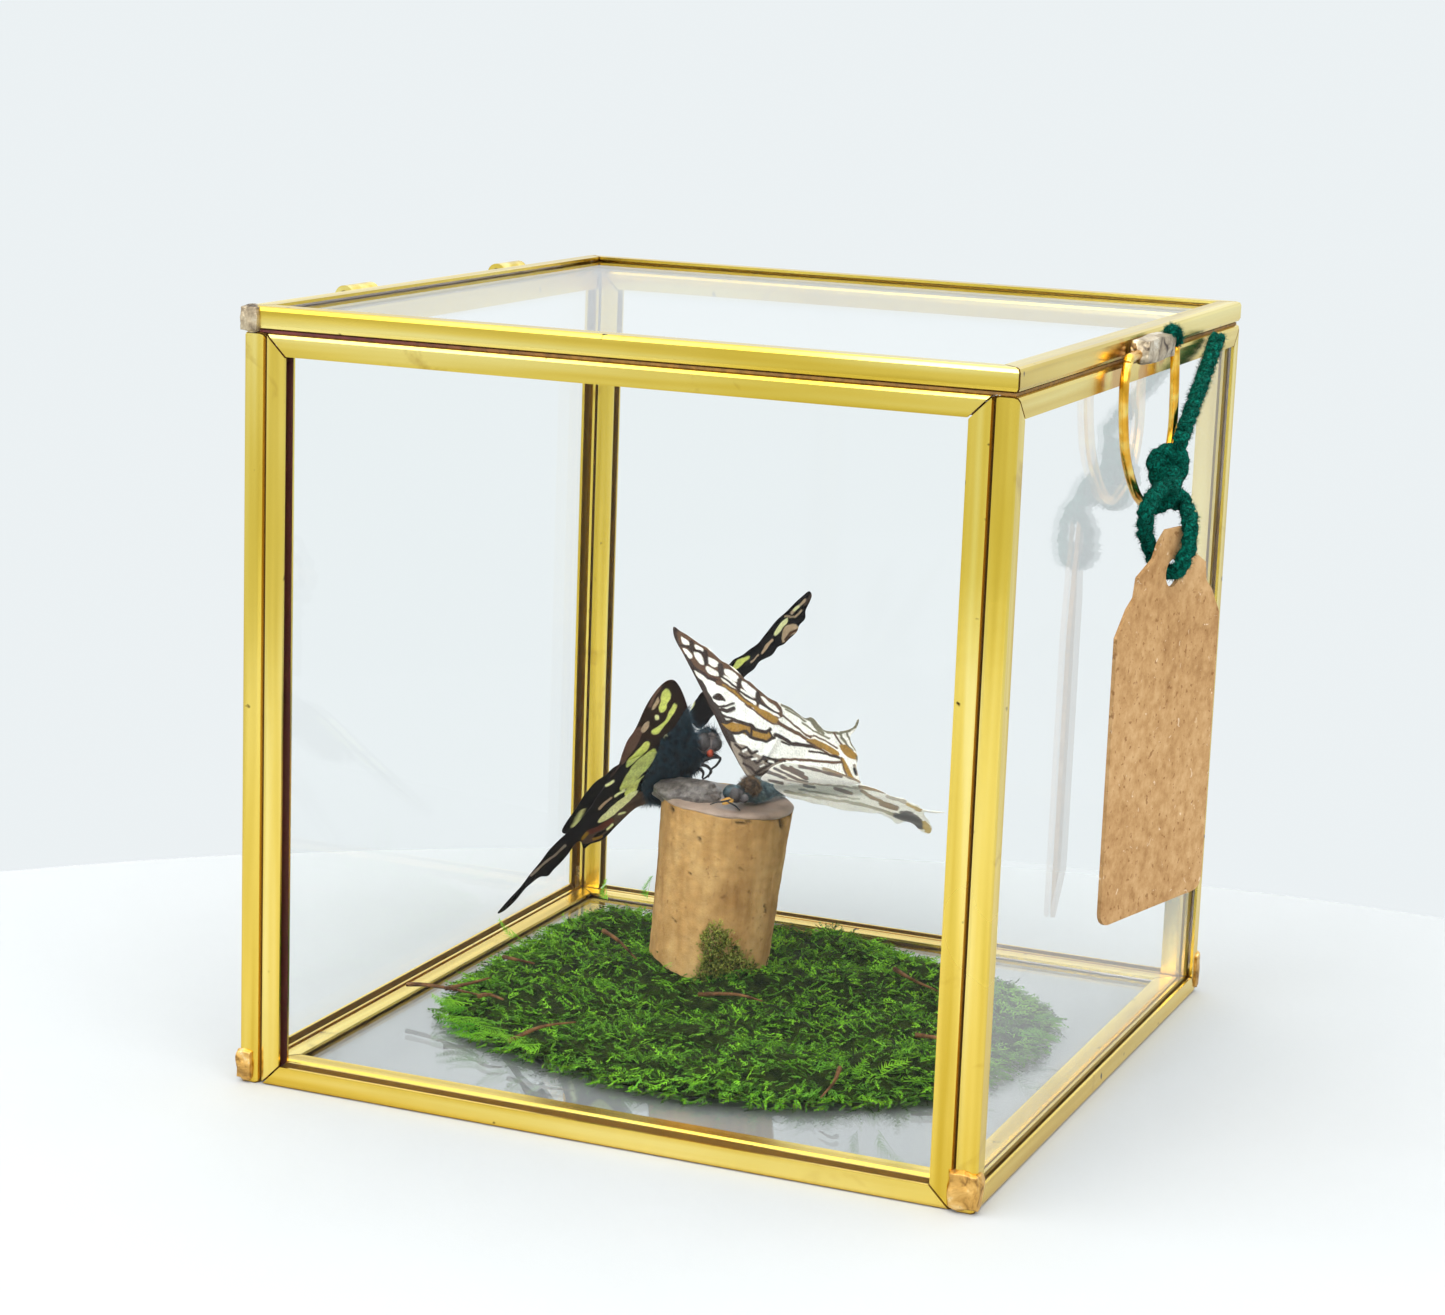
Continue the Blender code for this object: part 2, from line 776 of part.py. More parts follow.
def tag():
    """A flat card with a shaped top, hung by a hole and turned a little from the wall."""
    half = [(x * MM, y * MM) for x, y in TAG_HALF_OUTLINE]
    side = half[-1][0]
    corner = arc((side - TAG_CORNER, TAG_FOOT + TAG_CORNER), TAG_CORNER, 0, -90, CORNER_STEPS)
    right = half + corner
    left = [(-x, y) for x, y in reversed(right)]
    across = Vector((math.sin(TAG_TURN), math.cos(TAG_TURN), 0))
    place = axes_at(mm(*TAG_HOLE), across, (0, 0, 1))
    place = place @ Matrix.Translation((0, 0, -TAG_THICKNESS / 2))
    made = placed("hang_tag", extruded(right + left, TAG_THICKNESS), MATERIALS["card"], place)
    punch = bmesh.new()
    bmesh.ops.create_cone(
        punch,
        cap_ends=True,
        segments=24,
        radius1=TAG_HOLE_RADIUS,
        radius2=TAG_HOLE_RADIUS,
        depth=10 * MM,
    )
    boolean(made, cutter("hang_tag_hole", punch, place))


YARN_STOPS = (
    (65.2, 41.2, 122.6),
    (65.5, 37.8, 121.2),
    (65.9, 33.6, 119.4),
    (66.6, 27.2, 116.8),
    (67.4, 20.1, 114.2),
    (68.2, 12.6, 111.2),
    (68.5, 9.4, 109.6),
)
LOOP_STOPS = (
    (70.8, 6.2, 98.4),
    (72.4, 2.6, 96.9),
    (72.9, 1.2, 94.4),
    (72.8, 0.4, 92.0),
    (72.0, -0.6, 89.9),
    (70.5, 0.0, 88.6),
    (68.3, -0.2, 89.9),
    (67.7, -2.6, 92.4),
    (67.2, -4.6, 95.0),
    (67.6, -6.9, 97.2),
    (68.0, -8.4, 99.4),
    (68.2, -6.4, 101.2),
    (68.4, -2.0, 102.2),
    (68.6, 1.7, 102.4),
)


def yarn():
    """The wool from under the lid to its knot on the ring, and its loop through the tag."""
    for name, stops, step in (
        ("yarn", YARN_STOPS, YARN_STEP),
        ("yarn_loop", LOOP_STOPS, LOOP_STEP),
    ):
        route = smooth_route([mm(*stop) for stop in stops], step)
        tube(name, route, YARN_RADIUS, MATERIALS["wool"])
    place = Matrix.Translation(mm(*KNOT_MIDDLE))
    knot = placed("yarn_knot", ball(KNOT_RADII, 16, 12), MATERIALS["wool"], place, smooth=True)
    passage = tube("yarn_knot_passage", ring_route(), RING_WIRE + GAP, MATERIALS["wool"], closed=True)
    cut = bmesh.new()
    cut.from_mesh(passage.to_mesh())
    channel = cutter("yarn_knot_channel", cut, Matrix.Translation((RING_X, 0, RING_Z)))
    bpy.data.objects.remove(passage, do_unlink=True)
    boolean(knot, channel)


def make_materials():
    return {
        "brass": material("brass", (0.72, 0.56, 0.25), 0.28, metallic=1.0),
        "glass": material("clear_glass", (0.96, 0.98, 0.97), 0.02, transmission=1.0),
        "solder": material("solder", (0.62, 0.58, 0.48), 0.4, metallic=1.0),
        "cork": material("cork", (0.55, 0.34, 0.17), 0.85),
        "glue": material("dried_glue", (0.55, 0.46, 0.42), 0.45),
        "moss": material("dried_moss", (0.12, 0.26, 0.04), 0.9),
        "swordtail_body": material("swordtail_fur", (0.02, 0.035, 0.05), 0.85),
        "swordtail_wing": material("swordtail_wing", (0.05, 0.04, 0.035), 0.6),
        "mapwing_body": material("mapwing_fur", (0.16, 0.18, 0.2), 0.85),
        "mapwing_wing": material("mapwing_wing", (0.86, 0.83, 0.76), 0.6),
        "card": material("kraft_card", (0.62, 0.47, 0.3), 0.85),
        "wool": material("green_wool", (0.02, 0.12, 0.08), 0.95),
    }


clear_scene()
MATERIALS = make_materials()
glass_box()
glass_lid()
solder_blobs()
for number, place_y in enumerate(HINGE_PLACES_Y, 1):
    knuckle(f"hinge_knuckle_{number}", place_y)
    staple(f"hinge_staple_{number}", place_y)
pull_ring()
clasp()
cork()
glue()
moss_mat()
swordtail()
mapwing()
tag()
yarn()
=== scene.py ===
"""Finishes the hinged glass box and the two dried butterflies in it.

Every piece is made in metres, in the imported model's own frame: the origin is the middle of the box's
underside, +Z is up and +X is the side with the pull ring.
"""

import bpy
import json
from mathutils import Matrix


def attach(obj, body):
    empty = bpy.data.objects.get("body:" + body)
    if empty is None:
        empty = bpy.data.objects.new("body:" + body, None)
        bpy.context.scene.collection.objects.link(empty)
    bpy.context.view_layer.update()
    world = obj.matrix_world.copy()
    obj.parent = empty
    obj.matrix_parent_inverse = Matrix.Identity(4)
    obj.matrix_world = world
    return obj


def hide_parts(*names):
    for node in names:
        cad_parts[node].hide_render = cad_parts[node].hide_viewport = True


bl_info = {
    "name": "Butterflies in a Glass Box",
    "version": (1, 0, 0),
    "blender": (4, 5, 0),
    "location": "View3D > Sidebar > Butterfly Box",
    "description": "Finishes a hinged glass box with two dried butterflies on a cork over moss",
    "category": "Object",
}

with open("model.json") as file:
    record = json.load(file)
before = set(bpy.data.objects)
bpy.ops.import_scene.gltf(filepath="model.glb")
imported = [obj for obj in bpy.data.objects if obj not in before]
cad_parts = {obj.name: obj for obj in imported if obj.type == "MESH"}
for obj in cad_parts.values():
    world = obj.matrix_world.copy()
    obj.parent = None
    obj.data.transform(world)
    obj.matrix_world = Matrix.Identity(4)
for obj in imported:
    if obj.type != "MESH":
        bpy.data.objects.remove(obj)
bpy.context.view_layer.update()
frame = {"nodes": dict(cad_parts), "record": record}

import json
import math

import bmesh
import bpy
import numpy as np
from bpy.props import FloatProperty, FloatVectorProperty, IntProperty, PointerProperty
from mathutils import Matrix, Vector, noise

MM = 0.001

# The camera: where the photograph was taken from, and its frame in pixels.
PHOTO_WIDTH, PHOTO_HEIGHT = 1445, 1315
FOCAL_PIXELS = 3288.8
CAMERA_PLACE = Vector((0.2038, -0.5081, 0.1797))
CAMERA_YAW = math.radians(22.52)
CAMERA_PITCH = math.radians(11.68)
CAMERA_ROLL = math.radians(2.09)
SENSOR_WIDTH_MM = 36.0


def camera_axes():
    """The camera's right, up and forward directions."""
    forward = Vector(
        (
            -math.sin(CAMERA_YAW) * math.cos(CAMERA_PITCH),
            math.cos(CAMERA_YAW) * math.cos(CAMERA_PITCH),
            -math.sin(CAMERA_PITCH),
        )
    )
    level = forward.cross(Vector((0, 0, 1))).normalized()
    upright = level.cross(forward)
    right = math.cos(CAMERA_ROLL) * level + math.sin(CAMERA_ROLL) * upright
    up = math.cos(CAMERA_ROLL) * upright - math.sin(CAMERA_ROLL) * level
    return right, up, forward


def mm(x, y, z):
    return Vector((x, y, z)) * MM


def tone(red, green, blue):
    """A colour given as it looks on a screen, 0 to 255, as the linear light that a shader takes."""
    levels = [value / 255 for value in (red, green, blue)]
    return tuple(v / 12.92 if v <= 0.04045 else ((v + 0.055) / 1.055) ** 2.4 for v in levels)


# --- Materials -----------------------------------------------------------------------------------


# How strongly wool, moss, fur, card, cork and wing scales mirror, against 0.5 for a hard surface.
SOFT_SHINE = 0.08


class Finish:
    """One material, built node by node round its Principled BSDF."""

    def __init__(self, name, roughness=0.5, metallic=0.0, shine=0.5):
        self.material = bpy.data.materials.new(name)
        self.material.use_nodes = True
        self.tree = self.material.node_tree
        self.shader = self.tree.nodes["Principled BSDF"]
        self.set(Roughness=roughness, Metallic=metallic, Specular_IOR_Level=shine)
        self.place = self.tree.nodes.new("ShaderNodeTexCoord").outputs["Object"]

    def feed(self, socket, value):
        if isinstance(value, bpy.types.NodeSocket):
            self.tree.links.new(value, socket)
        elif socket.type == "RGBA" and len(value) == 3:
            socket.default_value = (*value, 1.0)
        else:
            socket.default_value = value

    def set(self, **values):
        """Sets or links the shader's sockets; an underscore in a name stands for a space."""
        for name, value in values.items():
            self.feed(self.shader.inputs[name.replace("_", " ")], value)

    def node(self, kind, output, settings, **values):
        made = self.tree.nodes.new(kind)
        for name, value in settings.items():
            setattr(made, name, value)
        for name, value in values.items():
            self.feed(made.inputs[name.replace("_", " ")], value)
        return made.outputs[output]

    def stretched(self, x, y, z):
        """Object coordinates in which a pattern is this much finer along each axis."""
        return self.node("ShaderNodeMapping", "Vector", {}, Vector=self.place, Scale=(x, y, z))

    def noise(self, scale, detail=3.0, roughness=0.55, distortion=0.0, where=None):
        values = {"Vector": where or self.place, "Scale": scale, "Detail": detail}
        values |= {"Roughness": roughness, "Distortion": distortion}
        return self.node("ShaderNodeTexNoise", "Fac", {}, **values)

    def cells(self, scale):
        return self.node("ShaderNodeTexVoronoi", "Distance", {}, Vector=self.place, Scale=scale)

    def ramp(self, fac, *stops):
        """Maps fac through (position, colour or grey level) stops."""
        made = self.tree.nodes.new("ShaderNodeValToRGB")
        self.feed(made.inputs["Fac"], fac)
        points = made.color_ramp.elements
        while len(points) < len(stops):
            points.new(0.5)
        for point, (position, colour) in zip(points, stops):
            point.position = position
            point.color = (*colour, 1.0) if isinstance(colour, tuple) else (colour, colour, colour, 1.0)
        return made.outputs["Color"]

    def mix(self, fac, a, b, blend="MIX"):
        made = self.tree.nodes.new("ShaderNodeMix")
        made.data_type = "RGBA"
        made.blend_type = blend
        for index, value in ((0, fac), (6, a), (7, b)):
            self.feed(made.inputs[index], value)
        return made.outputs[2]

    def tinted(self, colour, tint):
        return self.mix(1.0, colour, tint, "MULTIPLY")

    def sum(self, a, b, operation="ADD"):
        made = self.tree.nodes.new("ShaderNodeMath")
        made.operation = operation
        self.feed(made.inputs[0], a)
        self.feed(made.inputs[1], b)
        return made.outputs[0]

    def times(self, a, b):
        return self.sum(a, b, "MULTIPLY")

    def shelter(self, reach):
        """1 in the open, less where other surfaces stand within this reach."""
        return self.node("ShaderNodeAmbientOcclusion", "AO", {"samples": 6}, Distance=reach)

    def near(self, point, reach):
        """1 at a point, fading to 0 this far from it."""
        away = self.tree.nodes.new("ShaderNodeVectorMath")
        away.operation = "DISTANCE"
        self.feed(away.inputs[0], self.place)
        self.feed(away.inputs[1], point)
        return self.sum(1.0, self.sum(away.outputs["Value"], reach, "DIVIDE"), "SUBTRACT")

    def height(self, low, high):
        """0 at a low level to 1 at a high one."""
        split = self.node("ShaderNodeSeparateXYZ", "Z", {}, Vector=self.place)
        return self.sum(self.sum(split, low, "SUBTRACT"), high - low, "DIVIDE")

    def attribute(self, name, output="Color"):
        return self.node("ShaderNodeAttribute", output, {"attribute_name": name})

    def bump(self, height, strength, depth):
        made = self.node("ShaderNodeBump", "Normal", {}, Height=height, Strength=strength, Distance=depth)
        self.set(Normal=made)


# How fine the brushing of a strip is along it, against 1 across it.
ALONG = 0.03
# The painted shade in the seams: dark red at the front pane's left edge, ochre elsewhere.
RED_SEAM_SHADE = tone(92, 34, 34)
OCHRE_SEAM_SHADE = tone(134, 96, 34)
BOX_TOP = 127 * MM
SEAM_REACH = 1.0 * MM
# Painted shadow and reflection of the ring's legs and clasp on the brass under them: each place and how far
# the tint reaches.
RING_SHADE_SPOTS = ((mm(63.5, -12.5, 121.8), 6 * MM), (mm(63.5, 1.5, 120.0), 4 * MM), (mm(63.5, 12, 122.4), 3 * MM))


def brass_finish(name, gold, tarnish, grain=(1, 1, 1), ring_shade_spots=(), seam_shade_colour=OCHRE_SEAM_SHADE):
    """Gold plate: long polishing streaks whose pale stops are painted highlights, soft clouds of painted
    shade, a painted tint by height, specks of tarnish, painted shadow and reflection of the ring at given
    spots, and painted shade in its seams.
    """
    made = Finish(name, 0.2, 1.0)
    gold, pale = Vector(gold), Vector(tone(252, 240, 176))
    # Painted light: the streaks' pale stops are painted highlights along the strips and their dark stops
    # painted shade; the broad clouds dim the plate in soft patches of painted shade. The streaks also give
    # the polishing's bumps.
    cloud = made.noise(14.0, 3.0, 0.5)
    streak = made.noise(300.0, 2.0, 0.5, where=made.stretched(*grain))
    deep = Vector((gold.x * 0.78, gold.y * 0.73, gold.z * 0.42))
    plate = made.ramp(streak, (0.32, tuple(deep)), (0.5, tuple(gold)), (0.68, tuple(gold.lerp(pale, 0.7))))
    shaded = made.tinted(plate, made.ramp(cloud, (0.34, (0.92, 0.88, 0.56)), (0.54, 1.0)))
    # Painted light: the brass is a deeper yellow near the floor and at the top than in the middle, for the
    # way its reflections change with height.
    height_light_tints = ((0.0, (1.0, 0.92, 0.62)), (0.45, (1.0, 0.99, 0.9)), (0.9, (0.96, 0.94, 0.74)))
    shaded = made.tinted(shaded, made.ramp(made.height(0.0, BOX_TOP), *height_light_tints))
    patch = made.ramp(made.noise(60.0, 4.0, 0.6, 1.0), (0.62, 0.0), (0.76, 0.7))
    dulled = made.mix(patch, shaded, tuple(tarnish))
    speck = made.ramp(made.noise(330.0, 2.0, 0.5), (0.72, 0.0), (0.76, 1.0))
    specked = made.mix(speck, dulled, tone(58, 38, 12))
    mottle = made.noise(240.0, 3.0, 0.6)
    # Painted shadow and reflection of the ring: orange round each spot, dark red-brown nearest it.
    for point, reach in ring_shade_spots:
        ring_shade = made.sum(made.near(point, reach), mottle)
        specked = made.mix(made.ramp(ring_shade, (0.7, 0.0), (1.0, 0.75)), specked, tone(196, 136, 30))
        specked = made.mix(made.ramp(ring_shade, (1.05, 0.0), (1.25, 0.8)), specked, tone(112, 48, 30))
    # Painted shade: where other surfaces stand close, the brass turns ochre and then the seam shade colour,
    # and grows less metallic and rougher so that the tone shows.
    open_to_light = made.shelter(SEAM_REACH)
    edge = made.mix(made.ramp(open_to_light, (0.4, 0.8), (0.66, 0.0)), specked, tone(204, 150, 44))
    seam_shade_mask = made.ramp(open_to_light, (0.2, 1.0), (0.5, 0.0))
    made.set(Base_Color=made.mix(seam_shade_mask, edge, tuple(seam_shade_colour)))
    made.set(Metallic=made.sum(1.0, made.times(seam_shade_mask, 0.75), "SUBTRACT"))
    made.set(Roughness=made.sum(made.ramp(cloud, (0.3, 0.14), (0.7, 0.3)), made.times(seam_shade_mask, 0.4)))
    made.bump(made.sum(streak, made.noise(240.0, 3.0)), 0.1, 0.0003)
    return made.material


def grained(name, rough, scale, stops, bumps, shine):
    """A hard finish whose colour and bumps follow one noise."""
    made = Finish(name, rough, shine=shine)
    grain = made.noise(scale, 4.0, 0.65)
    made.set(Base_Color=made.ramp(grain, *stops))
    made.bump(grain, bumps, 0.0003)
    return made


def glass_finish(looks, name, ior):
    """Clear sheet glass with the faint waviness of its surface."""
    made = Finish(name, 0.0)
    made.set(Base_Color=tuple(looks.glass), Transmission_Weight=1.0, IOR=ior)
    made.set(Roughness=made.ramp(made.noise(40.0, 3.0), (0.5, 0.0), (0.8, 0.02)))
    made.bump(made.noise(9.0, 1.0), 0.05, 0.0004)
    return made.material


def solder_finish(name, *tones):
    """Solder: four tones laid out by a noise, from dark painted shade as of hollows to bright painted
    highlights as of swells.
    """
    made = Finish(name, 0.4, 0.7)
    cloud = made.noise(300.0, 4.0, 0.65, 0.6)
    stops = zip((0.34, 0.46, 0.58, 0.7), tones)
    made.set(Base_Color=made.ramp(cloud, *((place, tone(*colour)) for place, colour in stops)))
    made.set(Roughness=made.ramp(cloud, (0.3, 0.6), (0.7, 0.22)))
    made.bump(made.noise(700.0, 3.0, 0.6), 0.3, 0.0003)
    return made.material


# --- Making pieces -------------------------------------------------------------------------------


def emptied(bm, name):
    """The new mesh that a bmesh is emptied into."""
    mesh = bpy.data.meshes.new(name)
    bm.to_mesh(mesh)
    bm.free()
    return mesh


def settled(bm, name):
    """As emptied, in an order that is the same on every run, because spin and bisect vary theirs."""
    verts = sorted(bm.verts, key=lambda vert: vert.co[:])
    for index, vert in enumerate(verts):
        vert.index = index
    faces = []
    for face in bm.faces:
        corners = [vert.index for vert in face.verts]
        first = corners.index(min(corners))
        faces.append(corners[first:] + corners[:first])
    mesh = bpy.data.meshes.new(name)
    mesh.from_pydata([vert.co[:] for vert in verts], [], sorted(faces))
    bm.free()
    return mesh


def gather(bm, mesh):
    """Moves all of a mesh into a bmesh."""
    bm.from_mesh(mesh)
    bpy.data.meshes.remove(mesh)


def piece(name, mesh, finish, body, replaces=(), smooth=True):
    """Makes the mesh or bmesh a piece that rides on a body."""
    if isinstance(mesh, bmesh.types.BMesh):
        mesh = settled(mesh, name)
    if smooth:
        mesh.shade_smooth()
    mesh.materials.clear()
    mesh.materials.append(finish)
    made = bpy.data.objects.new(name, mesh)
    bpy.context.scene.collection.objects.link(made)
    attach(made, body)
    if replaces:
        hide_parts(*replaces)
    return made


def smooth_route(stops, step, closed=False):
    """Points a step apart on the Catmull-Rom curve through the stops. A closed one ends before its start."""
    if closed:
        stops = [*stops, stops[0]]
        ends = [stops[-2], *stops, stops[1]]
    else:
        ends = [2 * stops[0] - stops[1], *stops, 2 * stops[-1] - stops[-2]]
    fine = []
    for a, b, c, d in zip(ends, ends[1:], ends[2:], ends[3:]):
        for i in range(20):
            t = i / 20
            slope = (c - a) * t + (2 * a - 5 * b + 4 * c - d) * t**2 + (3 * b - a - 3 * c + d) * t**3
            fine.append(b + slope / 2)
    fine.append(stops[-1])
    lengths = [0.0]
    for a, b in zip(fine, fine[1:]):
        lengths.append(lengths[-1] + (b - a).length)
    count = max(2, round(lengths[-1] / step))
    route = []
    for i in range(count + 1):
        wanted = lengths[-1] * i / count
        after = next((k for k, at in enumerate(lengths) if at >= wanted - 1e-9), len(fine) - 1)
        after = max(after, 1)
        part = (wanted - lengths[after - 1]) / (lengths[after] - lengths[after - 1])
        route.append(fine[after - 1].lerp(fine[after], part))
    return route[:-1] if closed else route


def turned(profile, steps):
    """A bmesh turned round Z from a profile of (radius, height) points."""
    bm = bmesh.new()
    verts = [bm.verts.new((radius, 0, height)) for radius, height in profile]
    edges = [bm.edges.new(pair) for pair in zip(verts, verts[1:])]
    ring = {"axis": (0, 0, 1), "cent": (0, 0, 0), "angle": 2 * math.pi, "steps": steps, "use_merge": True}
    bmesh.ops.spin(bm, geom=[*verts, *edges], **ring)
    bmesh.ops.remove_doubles(bm, verts=bm.verts, dist=1e-6)
    return bm


def route_length(route):
    return sum((b - a).length for a, b in zip(route, route[1:]))


def tube_mesh(name, route, radii, sides=12, closed=False):
    """A tube along the route as a mesh; radii is one radius or one for each point."""
    curve = bpy.data.curves.new(name, "CURVE")
    curve.dimensions = "3D"
    curve.bevel_depth = 1.0 if isinstance(radii, (list, tuple)) else radii
    curve.bevel_resolution = max(0, sides // 4 - 1)
    curve.use_fill_caps = True
    spline = curve.splines.new("POLY")
    spline.points.add(len(route) - 1)
    for index, (target, point) in enumerate(zip(spline.points, route)):
        target.co = (*point, 1.0)
        if isinstance(radii, (list, tuple)):
            target.radius = radii[index]
    spline.use_cyclic_u = closed
    helper = bpy.data.objects.new(name, curve)
    mesh = bpy.data.meshes.new_from_object(helper)
    bpy.data.objects.remove(helper)
    bpy.data.curves.remove(curve)
    return mesh


# --- Sizes and colours that a user may change ----------------------------------------------------


class BoxLooks(bpy.types.PropertyGroup):
    brass: FloatVectorProperty(
        name="Brass", description="Colour of the channel strips", subtype="COLOR", default=tone(234, 208, 108)
    )
    tarnish: FloatVectorProperty(
        name="Tarnish", description="Colour of dulled brass", subtype="COLOR", default=tone(168, 126, 40)
    )
    ring: FloatVectorProperty(
        name="Ring", description="Colour of the pull ring", subtype="COLOR", default=tone(236, 182, 84)
    )
    glass: FloatVectorProperty(
        name="Glass", description="Tint of the panes", subtype="COLOR", default=(0.988, 0.996, 0.994)
    )


class WoolLooks(bpy.types.PropertyGroup):
    colour: FloatVectorProperty(
        name="Wool", description="Colour of the green yarn", subtype="COLOR", default=tone(2, 82, 68)
    )
    fuzz: FloatProperty(
        name="Fuzz", description="Length of the loose fibres", default=0.9 * MM, min=0.0, unit="LENGTH"
    )
    fibres: IntProperty(name="Fibres", description="Loose fibres on each piece", default=5200, min=0)


class MossLooks(bpy.types.PropertyGroup):
    frond: FloatProperty(
        name="Strand", description="Length of a strand of moss", default=3.2 * MM, min=0.5 * MM, unit="LENGTH"
    )
    count: IntProperty(name="Strands", description="Strands of each of three greens", default=4400, min=1)
    green: FloatVectorProperty(
        name="Green", description="Colour of most of the moss", subtype="COLOR", default=tone(88, 145, 39)
    )


class StageLooks(bpy.types.PropertyGroup):
    floor: FloatVectorProperty(
        name="Floor", description="Colour of the floor", subtype="COLOR", default=(0.41, 0.418, 0.42)
    )
    sky: FloatVectorProperty(
        name="Sky", description="Colour of the light all round", subtype="COLOR", default=(0.93, 0.98, 1.0)
    )
    floor_radius: FloatProperty(
        name="Floor radius", description="Radius of the round floor", default=0.32, min=0.2, unit="LENGTH"
    )


# --- The box -------------------------------------------------------------------------------------


def nodes_in(slot_name):
    """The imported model's nodes that take this material slot."""
    parts = frame["record"]["subparts"]
    return [part["node"] for part in parts if part["material_slot"] == slot_name]


def wear(node, finish):
    """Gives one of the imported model's nodes its finish."""
    slots = frame["nodes"][node].data.materials
    slots.clear()
    slots.append(finish)


GRAINS = {"x": (ALONG, 1, 1), "y": (1, ALONG, 1), "z": (1, 1, ALONG)}


def grain_of(node):
    """The axis that a strip of channel runs along, from its panel and the side of it that it edges."""
    panel, _, side = node.partition("_strip_")
    if panel in ("bottom", "lid"):
        return "y" if side in ("left", "right") else "x"
    if side in ("top", "bottom"):
        return "x" if panel in ("front", "back") else "y"
    return "z"


# The right and bottom panes mirror more of the light round them than the others do.
CLEAR_IOR, BRIGHT_IOR = 1.16, 1.42
CORNERS = ((-1, -1), (1, -1), (1, 1), (-1, 1))
# The strip of painted shade lies between the walls' top edges and the lid, a little inside the strips' faces.
SEAM_HALF = 62.9 * MM
SEAM_WIDTH = 1.6 * MM
SEAM_LEVEL = 122.92 * MM
SEAM_DEPTH = 0.4 * MM


class BOX_OT_box(bpy.types.Operator):
    """Gives the channel strips, the hinges and the panes their finishes"""

    bl_idname = "butterfly_box.box"
    bl_label = "Brass and Glass"

    def execute(self, context):
        looks = context.scene.box_looks
        gold, tarnish = looks.brass, looks.tarnish
        brushed = {}
        for axis, grain in GRAINS.items():
            brushed[axis] = brass_finish("brass_along_" + axis, gold, tarnish, grain)
        ring_shaded = brass_finish("ring_shaded_brass", gold, tarnish, GRAINS["y"], RING_SHADE_SPOTS)
        plain = brass_finish("pale_gold_brass", gold, tarnish)
        for node in nodes_in("brass"):
            wear(node, brushed[grain_of(node)] if "_strip_" in node else plain)
        # The front pane's left strip gets dark red painted shade in its seams.
        dark = brass_finish("brass_with_red_seam_shade", gold, tarnish, GRAINS["z"], seam_shade_colour=RED_SEAM_SHADE)
        wear("front_strip_left", dark)
        # The right wall's top strip and the lid's right strip carry the ring's painted shadow and reflection.
        for node in ("right_strip_top", "lid_strip_right"):
            wear(node, ring_shaded)
        clear = glass_finish(looks, "clear_sheet_glass", CLEAR_IOR)
        bright = glass_finish(looks, "bright_sheet_glass", BRIGHT_IOR)
        for node in nodes_in("glass"):
            wear(node, bright if node.startswith(("right", "bottom")) else clear)
        self.seam_shade_strip()
        return {"FINISHED"}

    def seam_shade_strip(self):
        """A dark strip of painted shade on the walls' top edges, under the lid, where the gap between them
        lies in shadow.
        """
        bm = bmesh.new()
        rings = []
        for half in (SEAM_HALF, SEAM_HALF - SEAM_WIDTH):
            rings.append([bm.verts.new((x * half, y * half, SEAM_LEVEL)) for x, y in CORNERS])
        outer, inner = rings
        for i in range(4):
            after = (i + 1) % 4
            bm.faces.new((outer[i], outer[after], inner[after], inner[i]))
        made = bmesh.ops.extrude_face_region(bm, geom=bm.faces[:])
        top = [found for found in made["geom"] if isinstance(found, bmesh.types.BMVert)]
        bmesh.ops.translate(bm, verts=top, vec=(0, 0, SEAM_DEPTH))
        bmesh.ops.recalc_face_normals(bm, faces=bm.faces)
        made = Finish("seam_shade_strip", 0.7)
        # Painted shade: ochre, turning dark red towards the front-left corner, and mottled.
        left = made.ramp(made.near(mm(-63.5, -63.5, 123), 60 * MM), (0.0, 0.0), (0.6, 1.0))
        seam_shade_colour = made.mix(left, OCHRE_SEAM_SHADE, RED_SEAM_SHADE)
        mottle = made.ramp(made.noise(900.0, 3.0), (0.35, 0.6), (0.65, 1.1))
        made.set(Base_Color=made.tinted(seam_shade_colour, mottle))
        piece("seam_shade_strip", bm, made.material, "box", smooth=False)


# --- Pull ring, yarn and tag ---------------------------------------------------------------------

RING_BAR = mm(65.5, 0, 124.2)
RING_WIRE = 0.8 * MM
# Half of a hand-bent D, from its bar's right end round to its left: (along Y, up) about the bar.
RING_STOPS = (
    (11.0, 0.0), (12.6, -1.3), (13.3, -5.0), (13.9, -9.5), (14.0, -14.5), (12.2, -19.2), (7.8, -23.0),
    (1.6, -24.9), (-4.4, -23.2), (-9.4, -19.6), (-13.2, -15.4), (-15.2, -11.0), (-16.2, -6.6),
    (-16.2, -3.0), (-14.6, -0.7), (-12.4, 0.0),
)

YARN_RADIUS = 1.25 * MM
YARN_STOPS = (
    (65.2, 41.2, 122.6), (65.5, 37.8, 121.2), (65.9, 33.6, 119.4), (66.6, 27.2, 116.8),
    (67.4, 20.1, 114.2), (68.2, 12.6, 111.2), (68.5, 9.4, 109.6),
)
LOOP_STOPS = (
    (70.8, 6.2, 98.4), (72.4, 2.6, 96.9), (72.9, 1.2, 94.4), (72.8, 0.4, 92.0), (72.0, -0.6, 89.9),
    (70.5, 0.0, 88.6), (68.3, -0.2, 89.9), (67.7, -2.6, 92.4), (67.2, -4.6, 95.0), (67.6, -6.9, 97.2),
    (68.0, -8.4, 99.4), (68.2, -6.4, 101.2), (68.4, -2.0, 102.2), (68.6, 1.7, 102.4),
)
# The length in which the yarn's strands turn once round each other.
PLY_TWIST = 9.0 * MM
KNOT_MIDDLE, KNOT_RADII = mm(66.9, 7.6, 102.2), mm(3.0, 5.0, 6.2)
KNOT_YARN_RADIUS = 1.6 * MM
